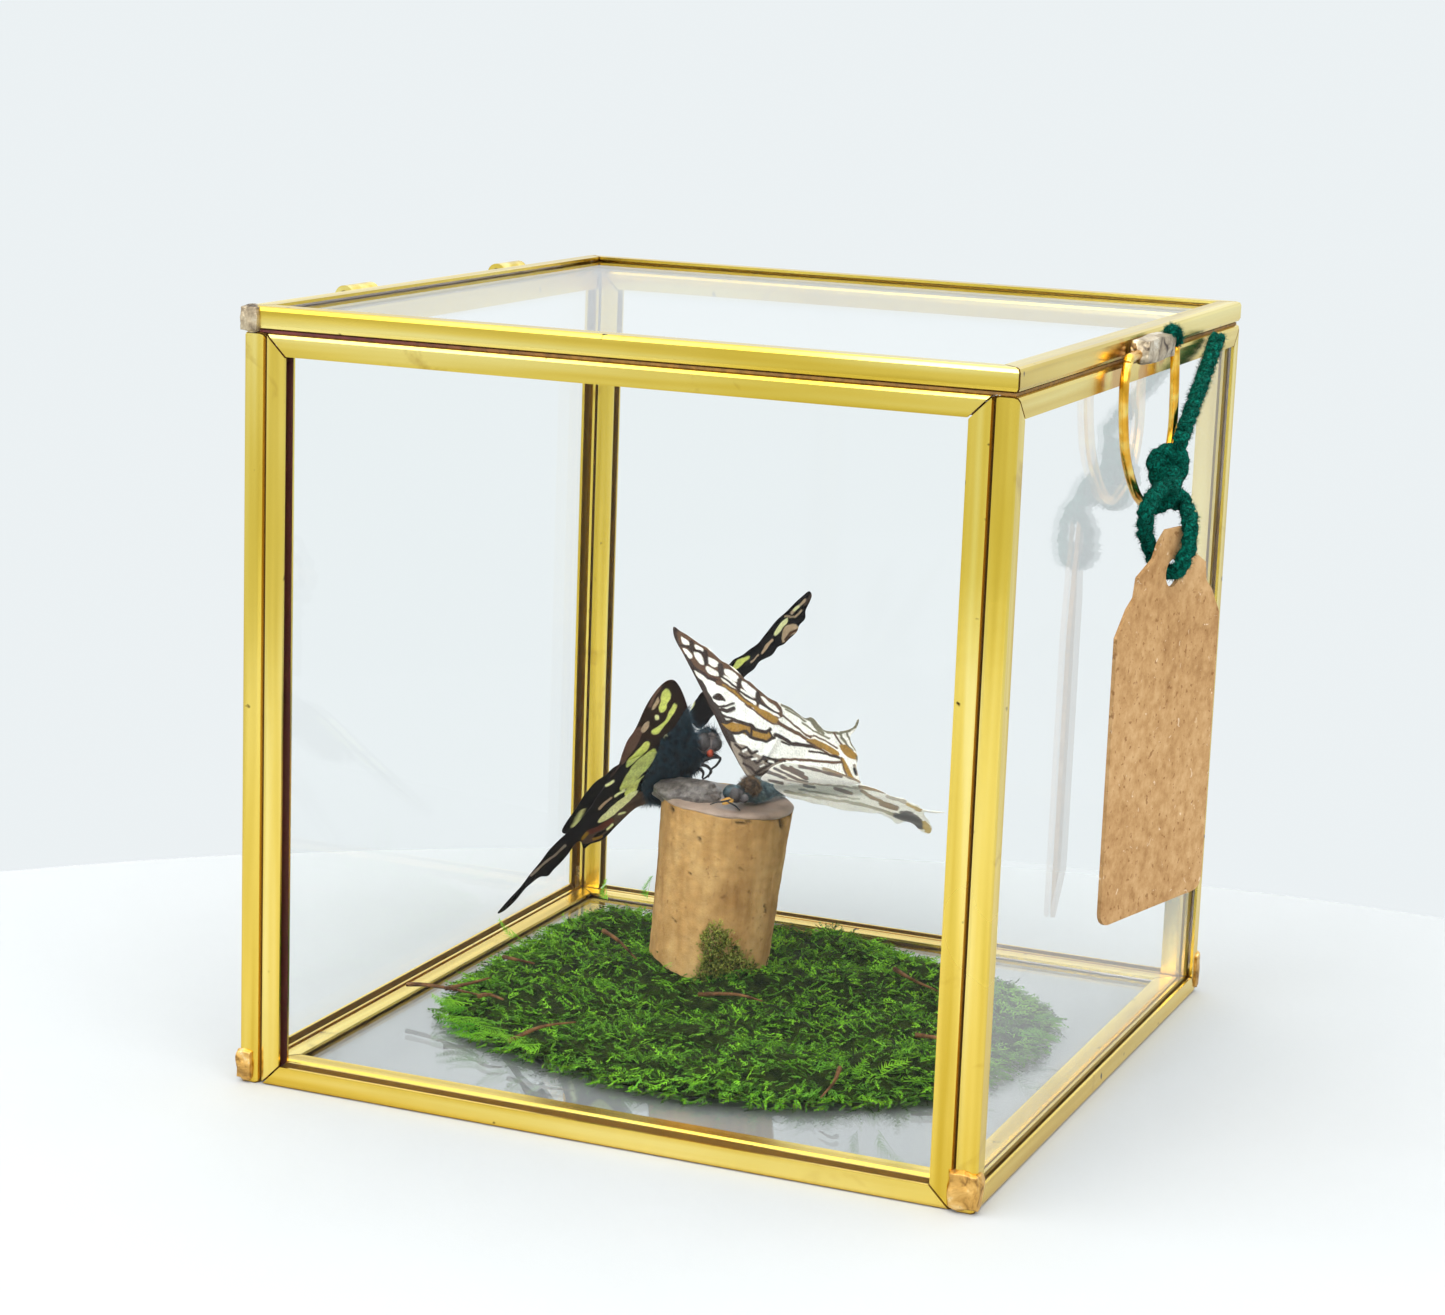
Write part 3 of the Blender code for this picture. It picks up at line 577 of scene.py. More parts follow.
# The short end of wool that stands up beside the clasp.
TUFT_STOPS = ((66.6, 9.2, 124.6), (66.7, 8.2, 126.0), (66.5, 6.6, 126.9), (66.2, 5.0, 126.6))
FUZZ_WIDTH = 0.1 * MM
# A piece of wool this large has the whole count of fibres, and a smaller one its share.
FUZZ_FULL_SIZE = 20 * MM


class BOX_OT_ring(bpy.types.Operator):
    """Makes the hand-bent pull ring"""

    bl_idname = "butterfly_box.ring"
    bl_label = "Pull Ring"

    def execute(self, context):
        route = smooth_route([RING_BAR + mm(0, y, z) for y, z in RING_STOPS], 0.5 * MM, closed=True)
        mesh = tube_mesh("pull_ring_wire", route, RING_WIRE, sides=20, closed=True)
        looks = context.scene.box_looks
        gold = brass_finish("ring_gold", looks.ring, looks.tarnish)
        piece("pull_ring_wire", mesh, gold, "pull_ring", ["pull_ring"])
        return {"FINISHED"}


def wool_finish(looks, name):
    """Felted green wool with painted shade between its fibres and painted highlights on them, laid out by one
    noise.
    """
    made = Finish(name, 0.95, shine=SOFT_SHINE)
    fibre = made.noise(1300.0, 4.0, 0.7, 1.5)
    colour = Vector(looks.colour)
    # Painted light: the darkest stop is painted shade between fibres, and the brightest, well over the wool's
    # colour, a painted highlight.
    made.set(
        Base_Color=made.ramp(
            fibre, (0.36, tuple(colour * 0.15)), (0.5, tuple(colour * 0.8)), (0.66, tuple(colour * 2.4))
        )
    )
    made.bump(fibre, 1.0, 0.0006)
    return made.material


def roughened(mesh, amount, scale):
    """Moves each point along its normal by noise, for a felted or lumpy surface."""
    bm = bmesh.new()
    bm.from_mesh(mesh)
    bm.normal_update()
    for vert in bm.verts:
        vert.co += vert.normal * amount * noise.fractal(vert.co * scale, 0.6, 2.0, 3)
    bm.to_mesh(mesh)
    bm.free()
    return mesh


def plied_yarn(name, route, radius, closed=False):
    """Three strands twisted round the route, as one mesh. Round a closed route they meet themselves."""
    length = route_length([*route, route[0]] if closed else route)
    turns = max(1, round(length / PLY_TWIST)) if closed else length / PLY_TWIST
    bm = bmesh.new()
    for strand in range(3):
        along, twisted, across = 0.0, [], Vector((1.0, 0.2, 0.1))
        for index, point in enumerate(route):
            ahead, behind = route[min(index + 1, len(route) - 1)], route[max(index - 1, 0)]
            way = (ahead - behind).normalized()
            across = (across - way * way.dot(across)).normalized()
            along += (point - behind).length if index else 0.0
            turn = 2 * math.pi * (turns * along / length + strand / 3)
            side = math.cos(turn) * across + math.sin(turn) * way.cross(across)
            thick = 1 + 0.2 * noise.noise(point * 160)
            twisted.append(point + side * radius * 0.42 * thick)
        gather(bm, tube_mesh(name, twisted, radius * 0.64, sides=12, closed=closed))
    mesh = emptied(bm, name)
    mesh.shade_smooth()
    return roughened(mesh, 0.3 * MM, 1100)


def knot_mesh():
    """A trefoil with one lobe up, wound to fill the knot's outer shape, and its three ends."""
    reach = KNOT_RADII - Vector((1, 1, 1)) * KNOT_YARN_RADIUS * 0.9
    wound = []
    for i in range(120):
        t = 2 * math.pi * i / 120
        across = (math.sin(t) + 2 * math.sin(2 * t)) / 3
        up = (2 * math.cos(2 * t) - math.cos(t)) / 3
        wound.append(KNOT_MIDDLE + Vector((-math.sin(3 * t) * reach.x, across * reach.y, up * reach.z)))
    bm = bmesh.new()
    gather(bm, plied_yarn("wool_knot", wound, KNOT_YARN_RADIUS, closed=True))
    waist = []
    for i in range(48):
        t = 2 * math.pi * i / 48
        waist.append(mm(66.7 + 1.7 * math.cos(t), 6.3 + 3.1 * math.sin(t), 99.4 + 0.9 * math.sin(t + 0.6)))
    gather(bm, plied_yarn("wool_knot", waist, YARN_RADIUS, closed=True))
    for stops in (YARN_STOPS[:-3:-1], LOOP_STOPS[:2], LOOP_STOPS[:-3:-1]):
        end, before = (mm(*stop) for stop in stops)
        onward = end + (end - before).normalized() * 1.5 * MM
        route = smooth_route([end, onward, KNOT_MIDDLE.lerp(end, 0.3)], 0.3 * MM)
        gather(bm, plied_yarn("wool_knot", route, YARN_RADIUS))
    return emptied(bm, "wool_knot")


class BOX_OT_yarn(bpy.types.Operator):
    """Makes the wool from under the lid, its knot on the ring, its loop through the tag and their fuzz"""

    bl_idname = "butterfly_box.yarn"
    bl_label = "Wool Yarn"

    def execute(self, context):
        looks = context.scene.wool_looks
        wool, fuzz = wool_finish(looks, "green_wool"), wool_finish(looks, "wool_fuzz")
        rng = np.random.default_rng(12)
        knot = piece("wool_knot", knot_mesh(), wool, "pull_ring", ["yarn_knot"])
        beside_knot = [knot, self.fuzz(looks, knot, fuzz, rng)]
        for name, node, stops, others in (
            ("wool_yarn", "yarn", YARN_STOPS, beside_knot),
            ("wool_loop", "yarn_loop", LOOP_STOPS, [frame["nodes"]["hang_tag"]]),
        ):
            route = smooth_route([mm(*stop) for stop in stops], 0.4 * MM)
            mesh = plied_yarn(name, route, YARN_RADIUS)
            made = piece(name, mesh, wool, "pull_ring", [node])
            self.fuzz(looks, made, fuzz, rng)
        route = smooth_route([mm(*stop) for stop in TUFT_STOPS], 0.3 * MM)
        tuft = piece("wool_tuft", plied_yarn("wool_tuft", route, 0.9 * MM), wool, "lid")
        self.fuzz(looks, tuft, fuzz, rng, body="lid")
        return {"FINISHED"}

    def fuzz(self, looks, source, finish, rng, body="pull_ring"):
        """Loose fibres that stand off a piece of wool."""
        name = source.name + "_fuzz"
        size = np.ptp(points_of(source.data), axis=0).max()
        count = int(looks.fibres * min(1.0, size / FUZZ_FULL_SIZE))
        coat = fur(name, source.data, count, looks.fuzz, FUZZ_WIDTH, (0, 0, 0), 0.9, rng)
        return piece(name, coat, finish, body, smooth=False)


class BOX_OT_tag(bpy.types.Operator):
    """Finishes the hang tag in speckled brown card"""

    bl_idname = "butterfly_box.tag"
    bl_label = "Hang Tag"

    def execute(self, context):
        made = Finish("kraft_card", 0.9, shine=SOFT_SHINE)
        cloud = made.noise(55.0, 4.0, 0.6)
        pulp = made.noise(420.0, 4.0, 0.7)
        card = made.ramp(
            made.sum(made.times(cloud, 0.4), made.times(pulp, 0.6)),
            (0.36, tone(148, 110, 70)),
            (0.5, tone(172, 134, 90)),
            (0.64, tone(190, 154, 110)),
        )
        fleck = made.ramp(made.noise(950.0, 2.0, 0.5), (0.64, 0.0), (0.7, 0.7))
        dark = made.mix(fleck, card, tone(124, 84, 50))
        pale = made.ramp(made.noise(640.0, 2.0, 0.5, 1.0), (0.7, 0.0), (0.74, 0.6))
        made.set(Base_Color=made.mix(pale, dark, tone(222, 200, 172)))
        made.bump(pulp, 0.3, 0.0003)
        wear("hang_tag", made.material)
        return {"FINISHED"}


# Each lump of solder's middle and half sizes in millimetres, over the node that it stands for.
SOLDER_LUMPS = {
    "solder_front_left": ((-62.4, -62.9, 3.0), (1.5, 1.5, 2.7)),
    "solder_front_right": ((61.6, -62.8, 3.6), (2.7, 1.8, 3.2)),
    "solder_back_left": ((-63.0, 63.1, 3.6), (1.1, 1.3, 3.2)),
    "solder_back_right": ((63.0, 63.1, 4.2), (1.0, 1.3, 3.5)),
    "solder_lid_front_left": ((-62.3, -62.9, 125.0), (1.7, 1.5, 2.2)),
    "ring_clasp": ((65.4, -0.5, 124.5), (1.8, 9.4, 2.2)),
}


class BOX_OT_solder(bpy.types.Operator):
    """Makes the ring's clasp and the lumps of solder that wrap the box's corners"""

    bl_idname = "butterfly_box.solder"
    bl_label = "Solder"

    def execute(self, context):
        gold = solder_finish("gold_solder", (104, 70, 30), (190, 146, 74), (212, 170, 98), (236, 212, 158))
        grey = solder_finish("grey_solder", (64, 52, 42), (150, 134, 110), (184, 168, 140), (214, 204, 182))
        bodies = frame["record"]["behaviour"]["bodies"]
        for seed, (node, (middle, halves)) in enumerate(SOLDER_LUMPS.items()):
            body = next(name for name, ridden in bodies.items() if node in ridden)
            finish = gold if "lid" not in node and node != "ring_clasp" else grey
            piece(node + "_lump", self.lump(middle, halves, seed), finish, body, [node])
        return {"FINISHED"}

    def lump(self, middle, halves, seed):
        """A rounded block with a few swells and fine pits, set solid where it ran."""
        bm = bmesh.new()
        bmesh.ops.create_cube(bm, size=2.0)
        bmesh.ops.subdivide_edges(bm, edges=bm.edges[:], cuts=23, use_grid_fill=True)
        for vert in bm.verts:
            vert.co = vert.co.lerp(vert.co.normalized() * 1.15, 0.4)
            swell = 0.14 * noise.noise(vert.co * 1.2 + Vector((seed, 0, 0)))
            pit = 0.025 * noise.fractal(vert.co * 4 + Vector((seed, 5, 0)), 0.7, 2.0, 3)
            vert.co *= 0.92 + swell + pit
        bmesh.ops.scale(bm, verts=bm.verts, vec=mm(*halves))
        bmesh.ops.translate(bm, verts=bm.verts, vec=mm(*middle))
        for vert in bm.verts:
            vert.co.z = max(vert.co.z, 0.3 * MM)
        return bm


# --- Placing by the photograph -------------------------------------------------------------------


def pixels_of(points):
    """Where the camera sees points, in the photograph's pixels."""
    right, up, forward = (np.array(axis) for axis in camera_axes())
    away = np.asarray(points) - np.array(CAMERA_PLACE)
    scale = FOCAL_PIXELS / (away @ forward)
    return np.stack(
        (PHOTO_WIDTH / 2 + scale * (away @ right), PHOTO_HEIGHT / 2 - scale * (away @ up)), axis=1
    )


def sight(px, py):
    """The camera's line of sight through a pixel of the photograph."""
    right, up, forward = camera_axes()
    across = (px - PHOTO_WIDTH / 2) / FOCAL_PIXELS
    down = (py - PHOTO_HEIGHT / 2) / FOCAL_PIXELS
    return (forward + across * right - down * up).normalized()


def distances(at, line):
    """How far each point of at lies from a line of corners, in the plane."""
    nearest = np.full(len(at), np.inf)
    for start, end in zip(line, line[1:]):
        start, way = np.array(start, float), np.subtract(end, start)
        part = np.clip((at - start) @ way / max(way @ way, 1e-12), 0, 1)
        gap = at - (start + part[:, None] * way)
        nearest = np.minimum(nearest, np.hypot(gap[:, 0], gap[:, 1]))
    return nearest


def within(at, outline):
    """Which points of at lie inside a closed outline, in the plane."""
    odd = np.zeros(len(at), bool)
    for (x0, y0), (x1, y1) in zip(outline, [*outline[1:], outline[0]]):
        if y0 == y1:
            continue
        crossing = x0 + (at[:, 1] - y0) * (x1 - x0) / (y1 - y0)
        odd ^= ((at[:, 1] < y0) != (at[:, 1] < y1)) & (at[:, 0] < crossing)
    return odd


def softened(outline):
    """A closed outline with its corners cut once."""
    rounder = []
    for (x0, y0), (x1, y1) in zip(outline, [*outline[1:], outline[0]]):
        rounder.append((0.75 * x0 + 0.25 * x1, 0.75 * y0 + 0.25 * y1))
        rounder.append((0.25 * x0 + 0.75 * x1, 0.25 * y0 + 0.75 * y1))
    return rounder


def points_of(mesh):
    points = np.empty(len(mesh.vertices) * 3, np.float32)
    mesh.vertices.foreach_get("co", points)
    return points.reshape(-1, 3).astype(float)


# The attribute that holds a piece's painted colours, and the width in pixels over which a mark's edge fades.
PAINT = "markings"
EDGE_SOFTNESS = 0.7


def keep_paint(mesh, colours):
    """Keeps a colour for each point of a mesh."""
    layer = mesh.color_attributes.new(PAINT, "FLOAT_COLOR", "POINT")
    layer.data.foreach_set("color", np.c_[colours, np.ones(len(colours))].ravel())


def paint(mesh, ground, marks, at, wobble=0.0):
    """Paints marks over the ground, at each point's place in the plane of the marks.

    A mark is its colour, its stroke's width and its corners. A width of 0 fills the outline.
    """
    points = points_of(mesh)
    if wobble:
        waves = [noise.noise_vector(Vector(p) * 700)[:2] for p in points]
        at = at + wobble * np.array(waves)
    colour = np.tile(tone(*ground), (len(points), 1))
    for tint, width, corners in marks:
        if width:
            cover = width / 2 - distances(at, corners)
        else:
            outline = softened(corners)
            reach = distances(at, [*outline, outline[0]])
            cover = np.where(within(at, outline), reach, -reach)
        cover = np.clip(cover / EDGE_SOFTNESS + 0.5, 0, 1)[:, None]
        colour = colour * (1 - cover) + np.array(tone(*tint)) * cover
    keep_paint(mesh, colour)


# --- Wings ---------------------------------------------------------------------------------------

WING_STEP = 0.18 * MM
WING_THICKNESS = 0.12 * MM
# How far a wing's tip bows out of its plane, in millimetres, and its pleats in a full turn.
WING_BOW, WING_PLEATS = 0.3, 24


class WingPlane:
    """A wing's flat frame: x from its root to the forewing's tip, y towards the hindwing's tail."""

    def __init__(self, root, tip_way, tail_way, lift=0.0):
        x, tail = Vector(tip_way).normalized(), Vector(tail_way)
        y = (tail - tail.dot(x) * x).normalized()
        self.z = x.cross(y)
        self.root = mm(*root) + lift * MM * self.z
        turn = Matrix((x, y, self.z)).transposed()
        self.matrix = Matrix.Translation(self.root) @ turn.to_4x4()
        self.inverse = self.matrix.inverted()

    def seen(self, *pixels):
        """The plane's own points that show at pixels of the photograph."""
        found = []
        for px, py in pixels:
            way = sight(px, py)
            reach = (self.root - CAMERA_PLACE).dot(self.z) / way.dot(self.z)
            found.append(self.inverse @ (CAMERA_PLACE + reach * way))
        return found

    def laid(self, *places):
        """The plane's own points from millimetres along x and y."""
        return [mm(x, y, 0) for x, y in places]


def cut_sheet(outline, step):
    """A flat bmesh cut to an outline and divided into squares a step wide."""
    bm = bmesh.new()
    bm.faces.new([bm.verts.new((point.x, point.y, 0)) for point in outline])
    for axis in (0, 1):
        normal = Vector((axis == 0, axis == 1, 0))
        place = min(point[axis] for point in outline) + step / 2
        while place < max(point[axis] for point in outline):
            everything = [*bm.verts, *bm.edges, *bm.faces]
            bmesh.ops.bisect_plane(bm, geom=everything, dist=1e-7, plane_co=normal * place, plane_no=normal)
            place += step
    return bm


def wing_mesh(name, plane, outline):
    """A thin wing: pleated along its veins and bowed."""
    bm = cut_sheet(smooth_route(outline, 0.45 * MM, closed=True), WING_STEP)
    for vert in bm.verts:
        x, y = vert.co.x, vert.co.y
        out = math.hypot(x, y)
        pleat = math.sin(math.atan2(y, x) * WING_PLEATS) * min(1.0, out / (12 * MM)) * 0.09 * MM
        warp = noise.noise(Vector((x, y, WING_BOW)) * 70) * 0.3 * MM
        vert.co.z = pleat + warp + WING_BOW * MM * (out / (30 * MM)) ** 2
    bmesh.ops.solidify(bm, geom=bm.faces[:], thickness=WING_THICKNESS)
    bm.transform(plane.matrix)
    bmesh.ops.recalc_face_normals(bm, faces=bm.faces)
    mesh = settled(bm, name)
    mesh.shade_smooth()
    mesh.set_sharp_from_angle(angle=0.9)
    return mesh


def wing_finish(name, rough, sheen, glow=0.5 * MM):
    """Dusty scales over the painted markings; light that falls on the other side glows through."""
    made = Finish(name, rough, shine=SOFT_SHINE)
    dust = made.noise(2600.0, 3.0, 0.7)
    cloud = made.noise(240.0, 3.0, 0.6)
    shade = made.times(made.ramp(dust, (0.3, 0.66), (0.7, 1.2)), made.ramp(cloud, (0.3, 0.84), (0.7, 1.1)))
    made.set(Base_Color=made.tinted(made.attribute(PAINT), shade))
    made.set(Sheen_Weight=sheen, Sheen_Roughness=0.6)
    made.set(Subsurface_Weight=0.6, Subsurface_Scale=glow, Subsurface_Radius=(1.0, 0.9, 0.75))
    made.bump(dust, 0.35, 0.00012)
    return made.material


WHITE = (243, 240, 228)
# The near map wings' cream, painted brighter than their own tone to make up for the shade they lie in.
CREAM_BRIGHTENED = (255, 251, 236)
UMBER = (44, 30, 24)
BROWN = (86, 58, 38)
OCHRE = (152, 114, 40)
OLIVE = (112, 108, 88)
STONE = (146, 134, 120)
DRAB = (98, 86, 76)
BLACK = (22, 20, 22)

# The map wings' markings, in the photograph's pixels.
MAPWING_FAR_MARKS = (
    (UMBER, 9.0, ((675, 628), (682, 645), (691, 665), (701, 686), (713, 708), (722, 727))),
    (UMBER, 12.0, ((713, 707), (721, 722), (729, 738), (738, 756), (748, 775))),
    (BROWN, 0, (
        (675, 626), (695, 639), (715, 653), (746, 678), (782, 703), (784, 721), (762, 712), (740, 697),
        (718, 683), (700, 672), (684, 657),
    )),
    (WHITE, 0, ((681, 635), (685, 638), (690, 642), (691, 644), (688, 645), (683, 643))),
    (WHITE, 0, ((695, 643), (699, 645), (704, 649), (705, 653), (700, 652), (696, 648))),
    (WHITE, 0, ((708, 656), (713, 658), (720, 662), (720, 666), (714, 667), (708, 662))),
    (WHITE, 0, ((724, 669), (731, 669), (737, 674), (740, 679), (738, 683), (730, 678), (725, 673))),
    (WHITE, 0, ((741, 680), (746, 682), (753, 687), (760, 696), (757, 698), (750, 694), (744, 688))),
    (WHITE, 0, ((760, 695), (768, 700), (778, 708), (781, 712), (774, 710), (764, 702))),
    (WHITE, 0, ((683, 647), (688, 649), (693, 655), (692, 659), (687, 655))),
    (WHITE, 0, ((694, 650), (700, 652), (705, 660), (705, 665), (700, 663), (695, 656))),
    (WHITE, 0, ((706, 665), (711, 667), (719, 671), (720, 676), (714, 676), (707, 671))),
    (WHITE, 0, ((722, 673), (729, 677), (737, 683), (739, 691), (732, 688), (722, 680))),
    (WHITE, 0, ((741, 688), (747, 691), (756, 699), (758, 705), (752, 704), (741, 695))),
    (WHITE, 0, ((760, 702), (768, 707), (779, 714), (782, 718), (772, 714), (760, 708))),
    (WHITE, 0, ((694, 668), (700, 671), (705, 677), (704, 681), (698, 677))),
    (UMBER, 2.8, ((681, 645), (688, 646), (694, 650), (700, 651), (706, 656), (706, 664))),
    (UMBER, 3.2, ((686, 655), (690, 660), (694, 667), (702, 672), (709, 678), (720, 681))),
    (UMBER, 5.0, ((692, 642), (693, 650))),
    (UMBER, 5.0, ((706, 652), (707, 661))),
    (UMBER, 5.5, ((721, 665), (722, 675))),
    (UMBER, 5.0, ((740, 680), (739, 690))),
    (UMBER, 4.5, ((758, 693), (759, 702))),
    (UMBER, 2.2, ((722, 676), (731, 682), (739, 690), (750, 697), (759, 701), (770, 709), (781, 714))),
    (BROWN, 5.0, ((719, 682), (727, 686), (736, 692), (744, 699), (752, 705))),
    (OCHRE, 2.0, ((724, 685), (734, 691), (742, 698), (750, 704))),
    (OCHRE, 0, (
        (747, 701), (756, 705), (764, 709), (772, 713), (780, 719), (781, 724), (773, 722), (764, 718),
    )),
    (BROWN, 1.8, ((746, 704), (756, 711), (764, 718), (774, 723), (781, 725))),
    (UMBER, 0, (
        (700, 684), (707, 690), (714, 700), (717, 712), (724, 724), (730, 736), (722, 736), (708, 706),
    )),
    (UMBER, 0, ((712, 696), (718, 692), (723, 694), (728, 702), (721, 700), (714, 699))),
    (UMBER, 2.6, ((713, 702), (719, 706), (727, 706), (735, 703))),
    (UMBER, 4.0, ((722, 709), (728, 711), (735, 708))),
    (UMBER, 2.4, ((714, 707), (719, 712), (727, 717), (736, 719))),
    (OCHRE, 0, (
        (720, 721), (736, 722), (752, 726), (762, 730), (774, 732), (774, 741), (760, 740), (748, 735),
        (728, 730),
    )),
    (UMBER, 3.6, (
        (718, 721), (727, 722), (735, 720), (742, 722), (752, 725), (756, 729), (767, 732), (771, 729),
    )),
    (UMBER, 3.4, (
        (723, 727), (731, 732), (740, 733), (746, 731), (751, 736), (758, 739), (768, 741), (775, 737),
    )),
    (UMBER, 2.6, ((752, 726), (752, 735))),
    (UMBER, 2.0, ((770, 730), (774, 738))),
    (STONE, 0, (
        (729, 740), (738, 743), (746, 745), (756, 753), (766, 757), (780, 757), (786, 762), (770, 772),
        (760, 778), (750, 778), (740, 764),
    )),
    (DRAB, 0, ((738, 748), (748, 754), (758, 762), (770, 764), (766, 772), (754, 777), (746, 768))),
    (UMBER, 2.6, ((736, 744), (742, 749), (747, 747), (752, 753), (758, 751))),
    (UMBER, 2.8, ((740, 754), (746, 758), (752, 756), (757, 763), (764, 758), (770, 762))),
    (UMBER, 2.4, ((744, 763), (751, 767), (756, 773), (764, 768), (771, 764), (780, 759))),
    (UMBER, 2.6, ((764, 756), (775, 759), (786, 761))),
    (WHITE, 2.2, ((744, 751), (747, 750))),
    (WHITE, 2.2, ((753, 759), (757, 758))),
    (WHITE, 2.0, ((761, 766), (765, 764))),
    (WHITE, 2.0, ((770, 761), (774, 762))),
    (UMBER, 3.2, ((752, 777), (762, 774), (772, 769), (782, 765), (792, 766))),
    (UMBER, 3.8, ((776, 734), (784, 738), (792, 743), (800, 744), (812, 746), (821, 747))),
    (UMBER, 2.2, ((782, 741), (790, 745))),
    (BROWN, 3.6, ((779, 722), (788, 728), (798, 733), (808, 739))),
    (OCHRE, 0, (
        (805, 739), (814, 738), (824, 742), (833, 747), (841, 753), (838, 757), (828, 751), (816, 745),
    )),
    (BROWN, 1.8, ((807, 735), (816, 736), (826, 740), (838, 748))),
    (BROWN, 2.2, ((808, 741), (818, 747), (830, 754), (840, 757))),
    (UMBER, 2.4, ((810, 751), (820, 752), (830, 755), (840, 758))),
    (BROWN, 2.0, ((780, 713), (792, 722), (802, 731), (812, 737))),
    (OLIVE, 2.0, ((803, 722), (815, 731), (830, 738))),
    (OLIVE, 3.0, ((783, 705), (792, 709), (800, 714), (809, 719), (813, 718))),
    (OLIVE, 1.8, ((786, 709), (797, 715), (806, 721))),
    (OLIVE, 2.8, ((808, 717), (818, 727), (824, 733))),
    (OLIVE, 3.0, ((811, 717), (820, 727), (829, 732), (840, 733), (848, 731), (856, 727), (859, 720))),
    (OLIVE, 2.0, ((812, 722), (820, 732))),
    (OLIVE, 2.6, ((842, 731), (842, 737), (847, 744), (853, 750))),
    (OLIVE, 2.4, ((848, 729), (848, 735), (853, 744), (857, 750))),
    (BROWN, 2.0, ((834, 733), (838, 738), (842, 744))),
    (OCHRE, 0, ((839, 744), (846, 744), (852, 749), (859, 755), (858, 760), (850, 758), (842, 751))),
    (OCHRE, 4.6, ((843, 759), (847, 768), (851, 776), (856, 783))),
    (BROWN, 1.8, ((842, 757), (844, 768), (848, 778))),
    (STONE, 3.2, ((855, 765), (857, 774))),
    (BLACK, 2.8, ((855, 768), (856, 773))),
    (OLIVE, 2.6, ((858, 757), (860, 768), (862, 785))),
    (BROWN, 2.8, ((780, 759), (796, 759), (812, 760), (828, 762), (842, 762))),
    (UMBER, 3.0, ((780, 765), (800, 766), (820, 769), (838, 774), (852, 779))),
)
MAPWING_NEAR_MARKS = (
    (UMBER, 4.0, ((757, 780), (769, 784))),
    (UMBER, 3.4, ((770, 780), (783, 783))),
    (UMBER, 3.4, ((764, 770), (776, 774), (786, 778))),
    (UMBER, 2.4, ((775, 768), (788, 774), (798, 779), (808, 782))),
    (UMBER, 4.6, ((783, 766), (794, 771), (807, 778))),
    (UMBER, 3.2, ((791, 767), (804, 773))),
    (UMBER, 3.2, ((800, 766), (815, 769))),
    (UMBER, 3.6, ((813, 769), (826, 772), (842, 776))),
    (BROWN, 3.4, ((824, 768), (842, 773), (860, 781))),
    (UMBER, 3.2, ((805, 785), (815, 787))),
    (STONE, 2.2, ((786, 779), (806, 783), (832, 785), (860, 788))),
    (OLIVE, 3.0, ((786, 791), (806, 795), (832, 799), (862, 804), (886, 811))),
    (OLIVE, 1.8, ((800, 789), (830, 794), (860, 799))),
    (BROWN, 3.8, ((836, 788), (852, 793))),
    (BROWN, 3.4, ((860, 786), (874, 789), (886, 792))),
    (BROWN, 3.6, ((862, 790), (872, 797), (882, 801))),
    (STONE, 3.6, ((888, 796), (906, 802))),
    (BROWN, 5.4, ((882, 803), (897, 808))),
    (OLIVE, 3.4, ((888, 812), (904, 819), (916, 823))),
    (BLACK, 5.6, ((896, 815), (903, 817))),
    (BLACK, 0, ((899, 810), (911, 811), (921, 817), (928, 828), (921, 830), (910, 823), (901, 818))),
    (OCHRE, 3.4, ((908, 804), (921, 810))),
    (OCHRE, 0, ((923, 818), (933, 827), (931, 835), (924, 831))),
)

LEAF = (222, 232, 132)
PALE_LEAF = (236, 240, 182)
TAN = (192, 170, 142)
MAUVE = (104, 78, 68)
SOOT = (20, 17, 20)
DUSTY = (82, 66, 56)
RUST = (96, 52, 42)

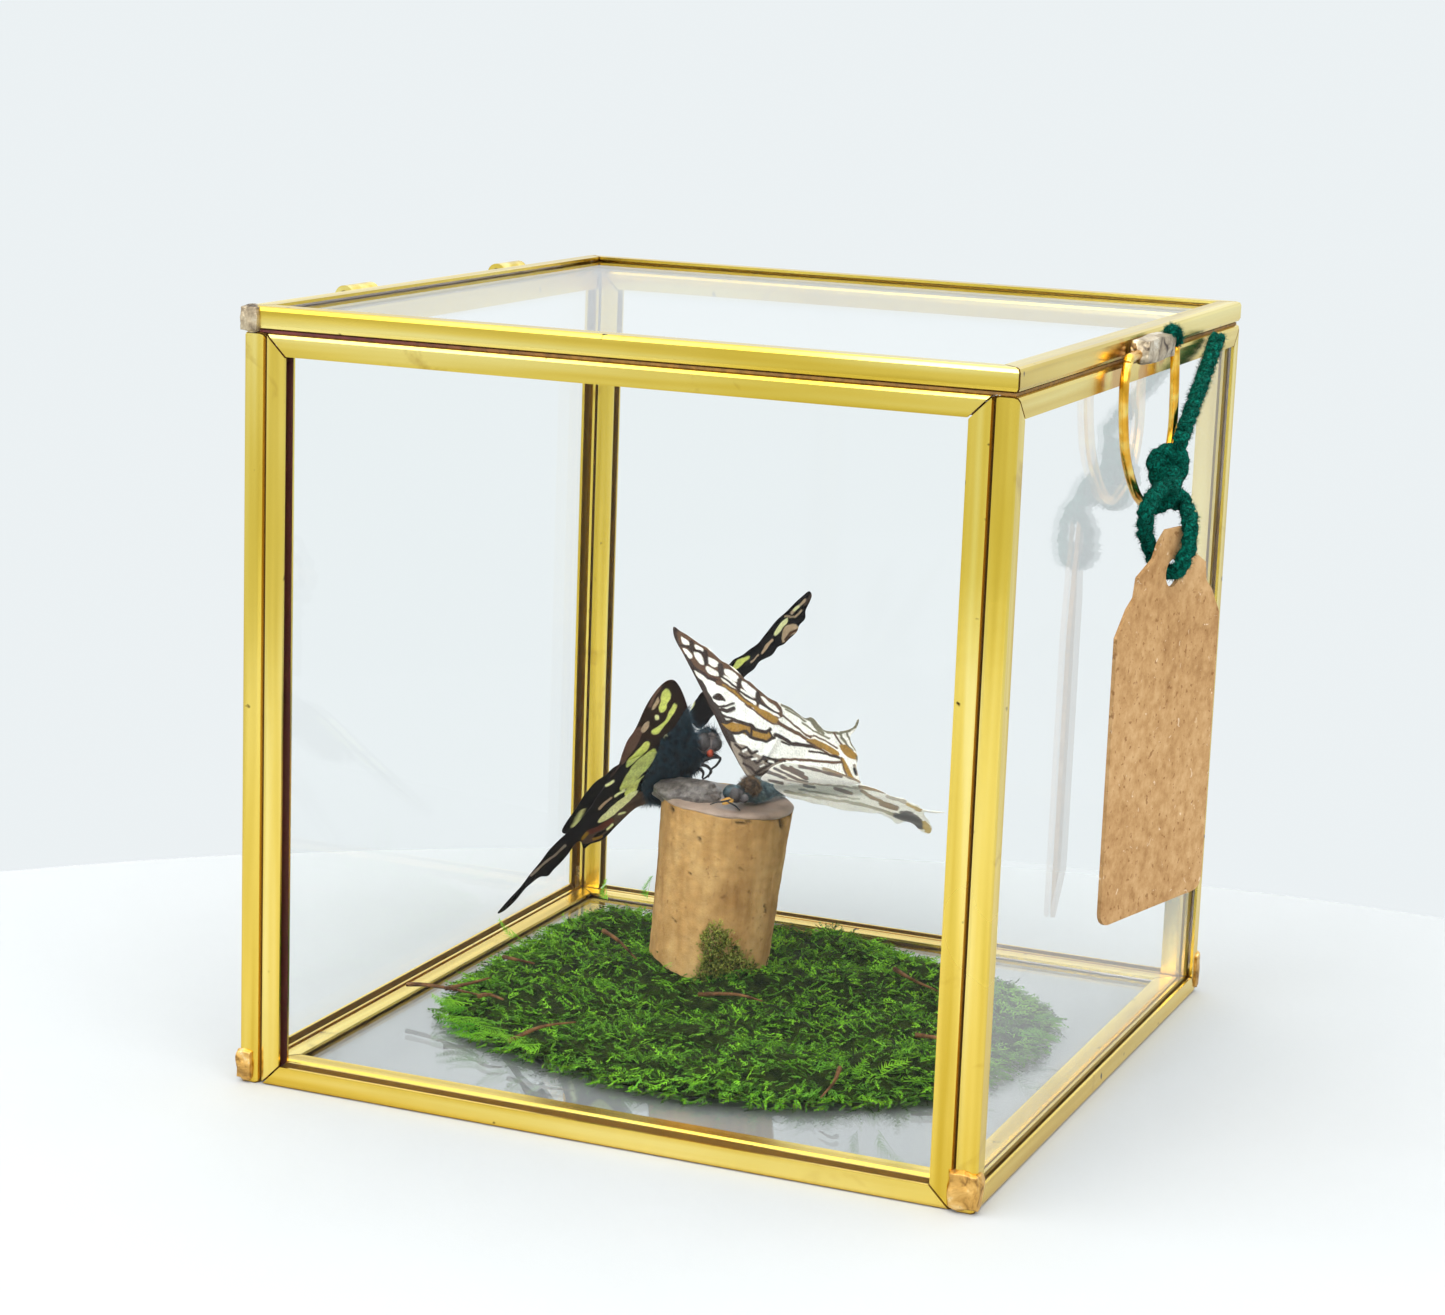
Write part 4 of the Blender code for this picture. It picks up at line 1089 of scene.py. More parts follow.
# The swordtail's markings, in the photograph's pixels.
SWORDTAIL_NEAR_MARKS = (
    (UMBER, 6.0, ((662, 684), (652, 700), (640, 722), (628, 745))),
    (MAUVE, 0, ((628, 740), (640, 724), (644, 730), (639, 744), (629, 757), (622, 766), (620, 755))),
    (MAUVE, 3.0, ((661, 686), (655, 696), (651, 706))),
    (LEAF, 0, (
        (664, 688), (670, 689), (672, 696), (668, 703), (667, 709), (663, 713), (659, 710), (661, 702),
    )),
    (LEAF, 0, (
        (674, 702), (678, 705), (675, 712), (669, 721), (663, 728), (658, 734), (653, 734), (652, 730),
        (658, 726), (664, 722), (669, 714),
    )),
    (PALE_LEAF, 0, ((656, 714), (660, 715), (660, 720), (655, 720))),
    (TAN, 0, ((652, 709), (657, 700), (660, 696), (660, 702), (655, 709))),
    (TAN, 0, ((641, 730), (646, 722), (650, 720), (650, 727), (644, 733))),
    (PALE_LEAF, 0, ((663, 738), (668, 733), (672, 733), (669, 738), (665, 740))),
    (LEAF, 0, (
        (646, 741), (651, 741), (650, 748), (642, 755), (634, 763), (626, 768), (628, 760), (636, 752),
        (641, 747),
    )),
    (LEAF, 0, (
        (650, 751), (656, 747), (658, 752), (654, 761), (648, 770), (640, 777), (632, 785), (625, 790),
        (620, 790), (624, 781), (629, 771), (636, 762), (644, 755),
    )),
    (LEAF, 0, (
        (647, 774), (640, 781), (638, 789), (631, 794), (625, 796), (626, 790), (632, 784), (640, 778),
    )),
    (PALE_LEAF, 0, (
        (640, 789), (635, 796), (627, 804), (617, 813), (608, 819), (597, 824), (602, 816), (611, 808),
        (619, 801), (629, 793),
    )),
    (PALE_LEAF, 2.4, ((607, 785), (614, 781))),
    (PALE_LEAF, 2.4, ((616, 796), (625, 790))),
    (TAN, 2.0, ((600, 808), (612, 797))),
    (DUSTY, 0, (
        (641, 789), (652, 798), (664, 803), (650, 804), (636, 810), (620, 821), (608, 832), (598, 840),
        (583, 845), (583, 835), (600, 828), (620, 811), (634, 797),
    )),
    (RUST, 5.0, ((590, 832), (600, 828), (612, 820))),
    (SOOT, 2.4, ((596, 836), (606, 830), (614, 824))),
    (OCHRE, 3.0, ((583, 838), (588, 833))),
    (OCHRE, 2.2, ((594, 839), (602, 836))),
    (PALE_LEAF, 1.8, ((608, 829), (613, 824))),
    (PALE_LEAF, 1.6, ((620, 814), (626, 812))),
    (STONE, 2.2, ((566, 845), (558, 853), (546, 862), (532, 875))),
)
SWORDTAIL_FAR_MARKS = (
    (LEAF, 0, ((733, 668), (737, 660), (744, 657), (751, 655), (750, 659), (744, 663), (738, 669))),
    (PALE_LEAF, 0, ((774, 635), (778, 627), (784, 620), (789, 617), (789, 622), (784, 627), (777, 636))),
    (TAN, 0, (
        (782, 637), (784, 628), (790, 624), (796, 623), (800, 628), (798, 632), (791, 635), (783, 644),
    )),
    (BROWN, 2.6, ((786, 640), (792, 632), (798, 629))),
    (TAN, 2.6, ((792, 613), (800, 605), (806, 600))),
    (PALE_LEAF, 2.6, ((795, 610), (799, 606))),
    (TAN, 2.6, ((763, 652), (768, 645), (773, 640))),
    (TAN, 1.6, ((752, 662), (759, 655))),
    (TAN, 1.6, ((786, 616), (796, 617), (802, 610))),
    (DUSTY, 0, ((803, 606), (808, 597), (814, 592), (815, 597), (808, 605))),
    (PALE_LEAF, 0, ((687, 712), (690, 704), (696, 700), (695, 706), (689, 713))),
)

# Each wing's outline, in the photograph's pixels or, where it is hidden, in millimetres on its plane.
MAPWING_FAR_FORE = (
    (675, 626), (681, 630), (688, 634), (696, 640), (703, 645), (709, 648), (715, 654), (722, 660),
    (728, 663), (735, 668), (741, 674), (746, 679), (752, 682), (757, 688), (763, 693), (770, 698),
    (777, 702), (784, 706), (782, 720), (777, 738), (770, 753), (760, 768), (750, 777), (743, 769),
    (736, 757), (729, 744), (723, 732), (717, 719), (711, 707), (705, 695), (699, 683), (693, 671),
    (688, 661), (683, 651), (678, 642), (675, 634),
)
MAPWING_FAR_HIND = (
    (752, 745), (760, 722), (771, 708), (780, 704), (790, 707), (797, 713), (805, 718), (812, 717),
    (818, 722), (823, 729), (829, 731), (838, 731), (846, 730), (852, 728), (856, 725), (859, 718),
    (860, 721), (857, 729), (852, 735), (853, 742), (857, 749), (859, 757), (858, 766), (861, 777),
    (862, 788), (846, 784), (826, 780), (800, 778), (770, 778), (750, 776),
)
MAPWING_NEAR_FORE_LAID = (
    (1.5, -1), (5, -3.2), (10, -5), (14, -6.7), (18, -8), (22, -9), (25, -9.4), (27.2, -9), (28.8, -8),
    (30.2, -6.6), (31.2, -5), (31.3, -2.8), (31, -0.5), (29.5, 2.5), (24, 6), (14, 6), (4, 3),
)
MAPWING_NEAR_HIND_SEEN = (
    (775, 784), (800, 783), (824, 785), (846, 786), (860, 786), (872, 789), (884, 793), (894, 798),
    (903, 800), (910, 804), (919, 807), (923, 811), (934, 813), (945, 815), (934, 815), (924, 814),
    (927, 820), (931, 826), (932, 831), (928, 834), (922, 831), (914, 825), (906, 822), (898, 823),
    (890, 818), (880, 813), (862, 811), (842, 808), (822, 804), (800, 799), (785, 794),
)
SWORDTAIL_NEAR_FORE = (
    (680, 765), (697, 750), (695, 734), (691, 720), (688, 706), (684, 694), (679, 684), (674, 679),
    (668, 679), (662, 683), (656, 690), (650, 700), (644, 712), (639, 722), (633, 733), (628, 741),
    (623, 752), (621, 762), (617, 770), (612, 778), (626, 787), (650, 782),
)
SWORDTAIL_NEAR_HIND = (
    (676, 770), (662, 752), (640, 756), (624, 764), (613, 776), (605, 787), (598, 798), (590, 809),
    (581, 821), (570, 830), (560, 838), (550, 848), (541, 860), (530, 872), (520, 884), (510, 894),
    (502, 903), (497, 910), (504, 907), (514, 898), (524, 886), (531, 880), (540, 874), (548, 874),
    (553, 868), (560, 861), (568, 852), (575, 843), (581, 840), (584, 847), (591, 842), (600, 840),
    (608, 834), (616, 825), (626, 815), (638, 806), (652, 802), (664, 804), (672, 790),
)
SWORDTAIL_FAR_FORE = (
    (698, 697), (714, 681), (730, 663), (740, 656), (757, 645), (766, 635), (778, 621), (788, 612),
    (797, 603), (804, 597), (811, 592), (814, 596), (812, 602), (807, 611), (806, 619), (800, 625),
    (798, 632), (790, 639), (785, 644), (778, 647), (773, 655), (760, 661), (755, 669), (746, 676),
    (730, 696), (713, 715), (700, 728), (690, 716),
)
SWORDTAIL_FAR_HIND_LAID = (
    (2, 0.5), (1.5, 5), (1.5, 8.5), (5, 11), (11.6, 10.3), (16.7, 8.8), (20, 6.6), (23.7, 4.3), (27, 2),
    (30.3, -0.5), (31, -2.5), (30.9, -4.5), (26.4, -7), (21, -6), (15.6, -5), (7, -3),
)
# Markings of the hidden hindwing, in millimetres on its plane.
SWORDTAIL_FAR_HIND_MARKS = (
    (LEAF, 0, ((5, 0), (13, -1), (15, 2), (12, 6), (6, 6))),
    (LEAF, 0, ((15, -2), (20, -2), (20, 2), (16, 3))),
    (PALE_LEAF, 1.1, ((23, 2.5), (28, -1.5))),
    (RUST, 1.4, ((26, -4.5), (29, -3))),
)

SWORDTAIL_NEAR = ((-18.6, 12.1, 41.3), (0.196, -0.682, 0.705), (-0.704, -0.598, -0.384))
SWORDTAIL_FAR = ((-18.8, 16.2, 50.4), (0.351, 0.729, 0.587), (-0.273, 0.680, -0.681))
SWORDTAIL_HIDDEN = ((-22.5, 22.1, 43.7), (-0.787, -0.026, -0.616), (-0.186, -0.943, 0.278))
MAPWING_NEAR = ((-1.9, 9.3, 42.4), (0.746, -0.619, 0.246), (0.664, 0.660, -0.350))
MAPWING_FAR = ((-5.5, 10.3, 43.5), (-0.528, 0.048, 0.848), (0.329, 0.932, 0.152))


def make_wing(node, plane, outline, ground, marks, finish, laid=False):
    """One wing, with its markings painted as the camera sees them or, laid, on its own plane."""
    name = node + "_scaled"
    mesh = wing_mesh(name, plane, outline)
    if laid:
        inverse = np.array(plane.inverse)
        at = (points_of(mesh) @ inverse[:3, :3].T + inverse[:3, 3])[:, :2] / MM
    else:
        at = pixels_of(points_of(mesh))
    paint(mesh, ground, marks, at, wobble=0.15 if laid else 0.9)
    return piece(name, mesh, finish, "box", [node], smooth=False)


class BOX_OT_swordtail_wings(bpy.types.Operator):
    """Makes the swordtail's four wings, dark with green windows and a long tail"""

    bl_idname = "butterfly_box.swordtail_wings"
    bl_label = "Swordtail Wings"

    def execute(self, context):
        finish = wing_finish("swordtail_scales", 0.9, 0.0)
        fore, hind = WingPlane(*SWORDTAIL_NEAR, -0.4), WingPlane(*SWORDTAIL_NEAR, 0.4)
        far, hidden = WingPlane(*SWORDTAIL_FAR), WingPlane(*SWORDTAIL_HIDDEN)
        marks = SWORDTAIL_NEAR_MARKS
        make_wing("swordtail_forewing_near", fore, fore.seen(*SWORDTAIL_NEAR_FORE), UMBER, marks, finish)
        make_wing("swordtail_hindwing_near", hind, hind.seen(*SWORDTAIL_NEAR_HIND), SOOT, marks, finish)
        marks = SWORDTAIL_FAR_MARKS
        make_wing("swordtail_forewing_far", far, far.seen(*SWORDTAIL_FAR_FORE), SOOT, marks, finish)
        outline, marks = hidden.laid(*SWORDTAIL_FAR_HIND_LAID), SWORDTAIL_FAR_HIND_MARKS
        make_wing("swordtail_hindwing_far", hidden, outline, SOOT, marks, finish, laid=True)
        return {"FINISHED"}


class BOX_OT_map_wings(bpy.types.Operator):
    """Makes the map butterfly's four wings, white with brown and ochre lines"""

    bl_idname = "butterfly_box.map_wings"
    bl_label = "Map Wings"

    def execute(self, context):
        finish = wing_finish("mapwing_scales", 0.85, 0.15)
        # Painted light: a brighter copy of the scales, with more sheen and a far deeper glow, for the near
        # wings that lie in shade.
        shade_brightened = wing_finish("mapwing_shade_brightened_scales", 0.85, 0.3, 3 * MM)
        fore, hind = WingPlane(*MAPWING_NEAR, 0.4), WingPlane(*MAPWING_NEAR, -0.4)
        front, back = WingPlane(*MAPWING_FAR, -0.4), WingPlane(*MAPWING_FAR, 0.4)
        near, far = MAPWING_NEAR_MARKS, MAPWING_FAR_MARKS
        make_wing("mapwing_forewing_near", fore, fore.laid(*MAPWING_NEAR_FORE_LAID), CREAM_BRIGHTENED, near, shade_brightened)
        make_wing("mapwing_hindwing_near", hind, hind.seen(*MAPWING_NEAR_HIND_SEEN), CREAM_BRIGHTENED, near, shade_brightened)
        make_wing("mapwing_forewing_far", front, front.seen(*MAPWING_FAR_FORE), WHITE, far, finish)
        make_wing("mapwing_hindwing_far", back, back.seen(*MAPWING_FAR_HIND), WHITE, far, finish)
        return {"FINISHED"}


# --- Small things in their hundreds --------------------------------------------------------------


def spike(bm, root, way, length, radius):
    """Adds a closed, three-sided spike to a bmesh."""
    turn = way.to_track_quat("Z", "Y").to_matrix().to_4x4()
    middle = Matrix.Translation(root + way.normalized() * length / 2)
    bmesh.ops.create_cone(
        bm, cap_ends=True, segments=3, radius1=radius, radius2=0, depth=length, matrix=middle @ turn
    )


def template(bm):
    """Ends a small repeated shape: its corners and its triangles, as arrays."""
    bmesh.ops.recalc_face_normals(bm, faces=bm.faces)
    bmesh.ops.triangulate(bm, faces=bm.faces)
    bm.verts.index_update()
    corners = np.array([vert.co[:] for vert in bm.verts])
    faces = np.array([[vert.index for vert in face.verts] for face in bm.faces])
    bm.free()
    return corners, faces


def places(points, ways, lengths, widths, sides):
    """4x4 places that stand a unit shape on each point, its Z along way and its X across side."""
    z = ways / np.linalg.norm(ways, axis=1, keepdims=True)
    x = np.cross(sides, z)
    x /= np.linalg.norm(x, axis=1, keepdims=True)
    made = np.zeros((len(points), 4, 4))
    made[:, :3, 0] = x * widths[:, None]
    made[:, :3, 1] = np.cross(z, x) * widths[:, None]
    made[:, :3, 2] = z * lengths[:, None]
    made[:, :3, 3] = points
    made[:, 3, 3] = 1
    return made


# The attribute that gives every copy of a small shape a shade of its own, from 0 to 1.
STRAND = "strand"


def scattered(name, shapes, spots, rng):
    """One mesh that holds a copy of one of the small shapes at each 4x4 place."""
    picks = rng.integers(len(shapes), size=len(spots))
    corners, faces, count = [], [], 0
    for pick, (unit, triangles) in enumerate(shapes):
        mine = spots[picks == pick]
        moved = np.einsum("pij,vj->pvi", mine[:, :3, :3], unit) + mine[:, None, :3, 3]
        starts = count + np.arange(len(mine)) * len(unit)
        corners.append(moved.reshape(-1, 3))
        faces.append((triangles[None] + starts[:, None, None]).reshape(-1, 3))
        count += len(mine) * len(unit)
    mesh = bpy.data.meshes.new(name)
    mesh.from_pydata(np.concatenate(corners), [], np.concatenate(faces))
    shades = [
        np.repeat(rng.random((picks == pick).sum()), len(unit)) for pick, (unit, _) in enumerate(shapes)
    ]
    layer = mesh.attributes.new(STRAND, "FLOAT", "POINT")
    layer.data.foreach_set("value", np.concatenate(shades))
    return mesh


def spots_on(mesh, count, rng):
    """Random points all over a mesh, and the way each one faces."""
    mesh.calc_loop_triangles()
    points = points_of(mesh)
    a, b, c = (points[[t.vertices[i] for t in mesh.loop_triangles]] for i in range(3))
    across = np.cross(b - a, c - a)
    area = np.linalg.norm(across, axis=1)
    pick = rng.choice(len(area), size=count, p=area / area.sum())
    u, v = rng.random(count), rng.random(count)
    u, v = np.where(u + v > 1, 1 - u, u), np.where(u + v > 1, 1 - v, v)
    at = a[pick] + u[:, None] * (b - a)[pick] + v[:, None] * (c - a)[pick]
    return at, across[pick] / area[pick][:, None]


# --- Moss ----------------------------------------------------------------------------------------

MOSS_BOTTOM = 3.2 * MM
MOSS_HEIGHT = 5.2 * MM
# The mat climbs this far up the cork, from this far out.
MOSS_CLIMB = 3.4 * MM
MOSS_CLIMB_REACH = 7 * MM
# Painted shade darkens strands where others stand within this reach.
MOSS_SHADE_REACH = 2.2 * MM
# The mat's ragged edge on the bottom pane, in millimetres.
MOSS_OUTLINE = (
    (-46, -26), (-51, -12), (-52, 8), (-52, 28), (-49, 40), (-40, 47), (-24, 50), (-5, 50), (16, 47),
    (36, 37), (48, 24), (50, 8), (48, -7), (46, -19), (42, -28), (32, -35), (20, -41.5), (8, -44.5),
    (-4, -44.5), (-20, -40), (-34, -35),
)


def moss_level(x, y, edge):
    """The mat's height at a place that lies edge inside its outline."""
    lumps = 0.75 + 0.5 * noise.noise(Vector((x, y, 3)) * 85) + 0.25 * noise.noise(Vector((x, y, 7)) * 260)
    out = math.hypot(x - CORK_FOOT.x, y - CORK_FOOT.y) - CORK_FOOT_RADIUS
    climb = MOSS_CLIMB * max(0.0, 1 - max(0.0, out) / MOSS_CLIMB_REACH)
    return MOSS_BOTTOM + (MOSS_HEIGHT * min(1.0, edge / (9 * MM)) ** 0.5 + climb) * lumps


def frond(droop, pairs, spread, leaf, thick=0.045):
    """A unit strand of moss: a bent stem with pairs of small leaves that shorten towards its tip."""
    bm = bmesh.new()
    spike(bm, Vector((0, 0, 0)), Vector((0, 0, 1)), 1.0, 0.8 * thick)
    for i in range(pairs):
        at = 0.08 + 0.84 * i / pairs
        for side in (-1, 1):
            way = Vector((side * spread, 0.3 * (-1) ** i, 1.0))
            spike(bm, Vector((0, 0, at)), way, leaf * (1.1 - 0.6 * at), thick)
    for vert in bm.verts:
        vert.co.y -= droop * vert.co.z**2
        vert.co.x += 0.12 * math.sin(5 * vert.co.z)
    return template(bm)


def moss_finish(name, dark, light):
    """Moss between a dark and a light green: a shade for each strand, with patches, a fine grain and painted
    shade where strands crowd.
    """
    made = Finish(name, 0.75, shine=SOFT_SHINE)
    patch = made.noise(90.0, 4.0, 0.65)
    fine = made.noise(900.0, 2.0, 0.5)
    blend = made.sum(made.times(patch, 0.5), made.times(fine, 0.2))
    blend = made.sum(blend, made.times(made.attribute(STRAND, "Fac"), 0.3))
    green = made.ramp(blend, (0.32, dark), (0.68, light))
    # Painted shade: strands darken to about an eighth where others crowd round them.
    painted_hollow_shade = made.ramp(made.shelter(MOSS_SHADE_REACH), (0.1, 0.12), (0.65, 1.0))
    made.set(Base_Color=made.tinted(green, painted_hollow_shade))
    made.set(Subsurface_Weight=0.1, Subsurface_Scale=0.001)
    made.bump(fine, 0.3, 0.0002)
    return made.material


def moss_places(looks, count, rng):
    """Where strands grow, the way they lean and how long they are: flattest at the edge."""
    outline = [(x * MM, y * MM) for x, y in MOSS_OUTLINE]
    low, high = np.min(outline, axis=0), np.max(outline, axis=0)
    at = low + (high - low) * rng.random((int(count * 1.6), 2))
    at = at[within(at, outline)][:count]
    edge = distances(at, [*outline, outline[0]])
    levels = [moss_level(x, y, inside) for (x, y), inside in zip(at, edge)]
    points = np.c_[at, np.array(levels) - 0.9 * MM]
    heading = rng.random(len(at)) * 2 * math.pi
    outward = np.arctan2(at[:, 1], at[:, 0])
    heading = np.where(edge < 5 * MM, outward + (heading - math.pi) * 0.45, heading)
    rise = np.where(edge < 5 * MM, rng.uniform(-0.1, 0.35, len(at)), rng.uniform(0.0, 0.75, len(at)))
    ways = np.c_[np.cos(heading) * np.cos(rise), np.sin(heading) * np.cos(rise), np.sin(rise)]
    lengths = looks.frond * rng.uniform(0.5, 1.2, len(at))
    sides = np.array((0, 0, 1)) + rng.normal(size=(len(at), 3)) * 0.5
    return places(points, ways, lengths, lengths * rng.uniform(0.7, 1.0, len(at)), sides)


def on_cork(px, py):
    """The point of the cork's side that shows at a pixel of the photograph."""
    axis, way = (CORK_TOP - CORK_FOOT).normalized(), sight(px, py)
    start = CAMERA_PLACE - CORK_FOOT
    across, run = start - axis * start.dot(axis), way - axis * way.dot(axis)
    half, gap = across.dot(run) / run.dot(run), across.dot(across) - CORK_FOOT_RADIUS**2
    return CAMERA_PLACE + way * (-half - math.sqrt(max(0.0, half * half - gap / run.dot(run))))


# The tongue of moss on the cork, in the photograph's pixels, and the tries at placing its strands.
TUFT_OUTLINE = (
    (694, 984), (702, 966), (703, 946), (706, 934), (713, 926), (722, 929), (730, 938), (738, 952),
    (748, 960), (758, 970), (766, 986), (768, 1002), (698, 1002),
)
TUFT_TRIES = 2600
# Each bright sprig's foot in millimetres, its way and its length.
SPRIGS = (
    ((-30, 37, 7.5), (0.05, 0.1, 1.0), 11), ((-29, 37.6, 7.5), (0.35, 0.1, 1.0), 7.5),
    ((-31, 37.4, 7.5), (-0.4, 0.0, 1.0), 6.5), ((-50, 12, 7), (-1.0, 0.1, 0.35), 6),
    ((-40.5, -26.5, 6.5), (-1.0, -0.1, -0.06), 8), ((-40, -27.5, 6), (-1.0, -0.05, 0.0), 7.5),
    ((-36, -31.5, 6), (-0.95, -0.3, -0.07), 7), ((-34.5, -34.5, 6), (-1.0, -0.1, -0.13), 8),
    ((-34, -34, 5.5), (-0.65, -0.75, -0.12), 7), ((-31.5, -36, 5.5), (-0.8, -0.55, -0.15), 6),
    ((-24, -38, 6.4), (-0.4, -1.0, 0.25), 7), ((-20, -40, 6.4), (-0.1, -1.0, 0.2), 7),
    ((-28, -36, 6.4), (-0.7, -0.7, 0.2), 7), ((33, -32, 7.5), (0.3, -0.8, 0.6), 7),
    ((36, -30, 7.5), (0.7, -0.6, 0.6), 8), ((46.5, 12, 6.5), (1.0, 0.1, 0.25), 6),
    ((47, 3, 6.5), (1.0, -0.2, 0.2), 8), ((45, -12, 6.5), (1.0, -0.5, 0.2), 5),
    ((-46, 42, 7), (-0.6, 0.7, 0.5), 7), ((-40, 47, 7), (-0.4, 0.8, 0.6), 7),
)
# Twigs as routes, in millimetres.
TWIGS = (
    ((-33, 12, 10.6), (-28, 8, 10.4), (-22, 3, 9)),
    ((-54, -23.4, 7), (-50, -23.1, 7.4), (-44.3, -24.3, 7.8), (-38.5, -26, 8.2)),
    ((-45.6, -25.2, 8), (-42.6, -22, 8.5), (-40.2, -18.5, 9)),
    ((-38, -27.5, 8.4), (-36, -27.8, 9.2), (-33, -28, 8.8)),
    ((-44, -6, 8.8), (-41, -8, 9.4), (-37, -8, 9.2)),
    ((-26, -40, 6), (-22, -36, 8.0), (-17, -33, 8.8)),
    ((30, -33, 8.6), (30.5, -37, 7.4), (29.5, -40, 5.6)),
    ((20, 20, 9.4), (25, 15, 9.6), (31, 12, 9.2)),
    ((36, -14, 9.6), (40, -13, 9.4), (44, -12, 9)),
    ((-4, -12, 9.8), (2, -10, 10.2), (7, -10, 9.8)),
)


class BOX_OT_moss(bpy.types.Operator):
    """Makes the moss mat: a lumpy mound under thousands of small fronds in three greens, with twigs"""

    bl_idname = "butterfly_box.moss"
    bl_label = "Moss"

    def execute(self, context):
        looks = context.scene.moss_looks
        rng = np.random.default_rng(31)
        self.mound()
        shapes = [frond(0.3, 5, 0.8, 0.24), frond(0.1, 4, 1.1, 0.3), frond(0.5, 5, 0.6, 0.2)]
        feathers = [frond(0.25, 12, 1.0, 0.22, 0.02), frond(-0.1, 12, 1.2, 0.2, 0.02)]
        green = np.array(looks.green)
        for name, dark, light, share in (
            ("moss_deep", green * 0.08, green * 0.8, 1.0),
            ("moss_green", green * 0.3, green * 1.6, 1.0),
            ("moss_bright", green * np.array((0.8, 0.9, 0.5)), green * np.array((2.7, 2.3, 1.4)), 0.9),
        ):
            spots = moss_places(looks, int(looks.count * share), rng)
            mesh = scattered(name, shapes, spots, rng)
            finish = moss_finish(name, tuple(dark), tuple(np.minimum(light, 1.0)))
            piece(name, mesh, finish, "box", smooth=False)
        self.sprigs(rng, feathers)
        self.tuft(rng, shapes)
        self.twigs()
        return {"FINISHED"}

    def mound(self):
        outline = [mm(x, y, 0) for x, y in MOSS_OUTLINE]
        centre = sum(outline, Vector()) / len(outline)
        inner = [centre + (point - centre) * 0.97 for point in outline]
        bm = cut_sheet(smooth_route(inner, 3 * MM, closed=True), 2.5 * MM)
        bmesh.ops.translate(bm, verts=bm.verts, vec=(0, 0, MOSS_BOTTOM))
        made = bmesh.ops.extrude_face_region(bm, geom=bm.faces[:])
        top = [found for found in made["geom"] if isinstance(found, bmesh.types.BMVert)]
        ring = [point[:2] for point in (*inner, inner[0])]
        edges = distances(np.array([vert.co[:2] for vert in top]), ring)
        for vert, edge in zip(top, edges):
            vert.co.z = moss_level(vert.co.x, vert.co.y, edge) - 0.4 * MM
        bmesh.ops.recalc_face_normals(bm, faces=bm.faces)
        made = Finish("moss_mound", 0.9, shine=SOFT_SHINE)
        earth = made.noise(600.0, 4.0, 0.7)
        made.set(Base_Color=made.ramp(earth, (0.35, tone(10, 18, 6)), (0.65, tone(44, 56, 18))))
        made.bump(earth, 0.8, 0.001)
        piece("moss_mound", bm, made.material, "box", ["moss_mat"])

    def sprigs(self, rng, shapes):
        """The single sprigs that stand out of the mat, at their places in the photograph."""
        feet, ways, lengths = (np.array(column, float) for column in zip(*SPRIGS))
        sides = np.tile((0.3, -1.0, 0.2), (len(feet), 1)) + rng.normal(size=feet.shape) * 0.1
        spots = places(feet * MM, ways, lengths * MM, lengths * 0.8 * MM, sides)
        mesh = scattered("moss_sprigs", shapes, spots, rng)
        finish = moss_finish("moss_sprigs", tone(50, 130, 20), tone(140, 205, 50))
        piece("moss_sprigs", mesh, finish, "box", smooth=False)

    def tuft(self, rng, shapes):
        """The tongue of moss that climbs the cork's front."""
        low, high = np.min(TUFT_OUTLINE, axis=0), np.max(TUFT_OUTLINE, axis=0)
        at = low + (high - low) * rng.random((TUFT_TRIES, 2))
        at = at[within(at, TUFT_OUTLINE)]
        roots = [on_cork(px, py) for px, py in at.tolist()]
        points = np.array(roots)
        out = np.array([(CAMERA_PLACE - root).normalized() for root in roots])
        ways = out * 0.8 + np.array((0, 0, 0.7)) + rng.normal(size=points.shape) * 0.5
        lengths = rng.uniform(1.4, 3.0, len(points)) * MM
        spots = places(points, ways, lengths, lengths * 0.9, rng.normal(size=points.shape))
        finish = moss_finish("moss_tuft", tone(72, 92, 26), tone(196, 198, 88))
        piece("moss_tuft", scattered("moss_tuft", shapes, spots, rng), finish, "box", smooth=False)

    def twigs(self):
        """Dead brown stems that lie in and stick out of the mat."""
        made = Finish("moss_twigs", 0.8, shine=SOFT_SHINE)
        fibre = made.noise(500.0, 3.0)
        made.set(Base_Color=made.ramp(fibre, (0.3, tone(46, 30, 20)), (0.7, tone(132, 92, 58))))
        made.bump(fibre, 0.3, 0.0002)
        bm = bmesh.new()
        for stops in TWIGS:
            route = smooth_route([mm(*stop) for stop in stops], 1.2 * MM)
            radii = [0.42 * MM * (1 - 0.75 * i / len(route)) for i in range(len(route))]
            gather(bm, tube_mesh("twig", route, radii, sides=8))
        piece("moss_twigs", bm, made.material, "box")


# --- Cork and glue -------------------------------------------------------------------------------

CORK_FOOT, CORK_FOOT_RADIUS = mm(-11.7, 9.5, 4.9), 10.4 * MM
CORK_TOP, CORK_TOP_RADIUS = mm(-9.1, 10.6, 38.5), 11.6 * MM
CORK_SIDES, CORK_LEVELS = 128, 90
GLUE_IOR = 1.4
# Holes and cracks in the cork's side: pixels of the photograph that each runs through, and its width.
CORK_PITS = (
    (((784, 812), (785, 819), (783, 827)), 1.1),
    (((672, 808), (673, 810)), 1.4),
    (((738, 822), (744, 823), (750, 821)), 0.8),
    (((786, 805), (794, 815)), 1.6),
    (((700, 838), (702, 842)), 0.6),
    (((690, 872), (692, 876)), 0.5),
    (((740, 868), (743, 870)), 0.6),
    (((766, 905), (767, 912)), 0.6),
    (((722, 898), (726, 899)), 0.5),
    (((674, 918), (676, 922)), 0.6),
)

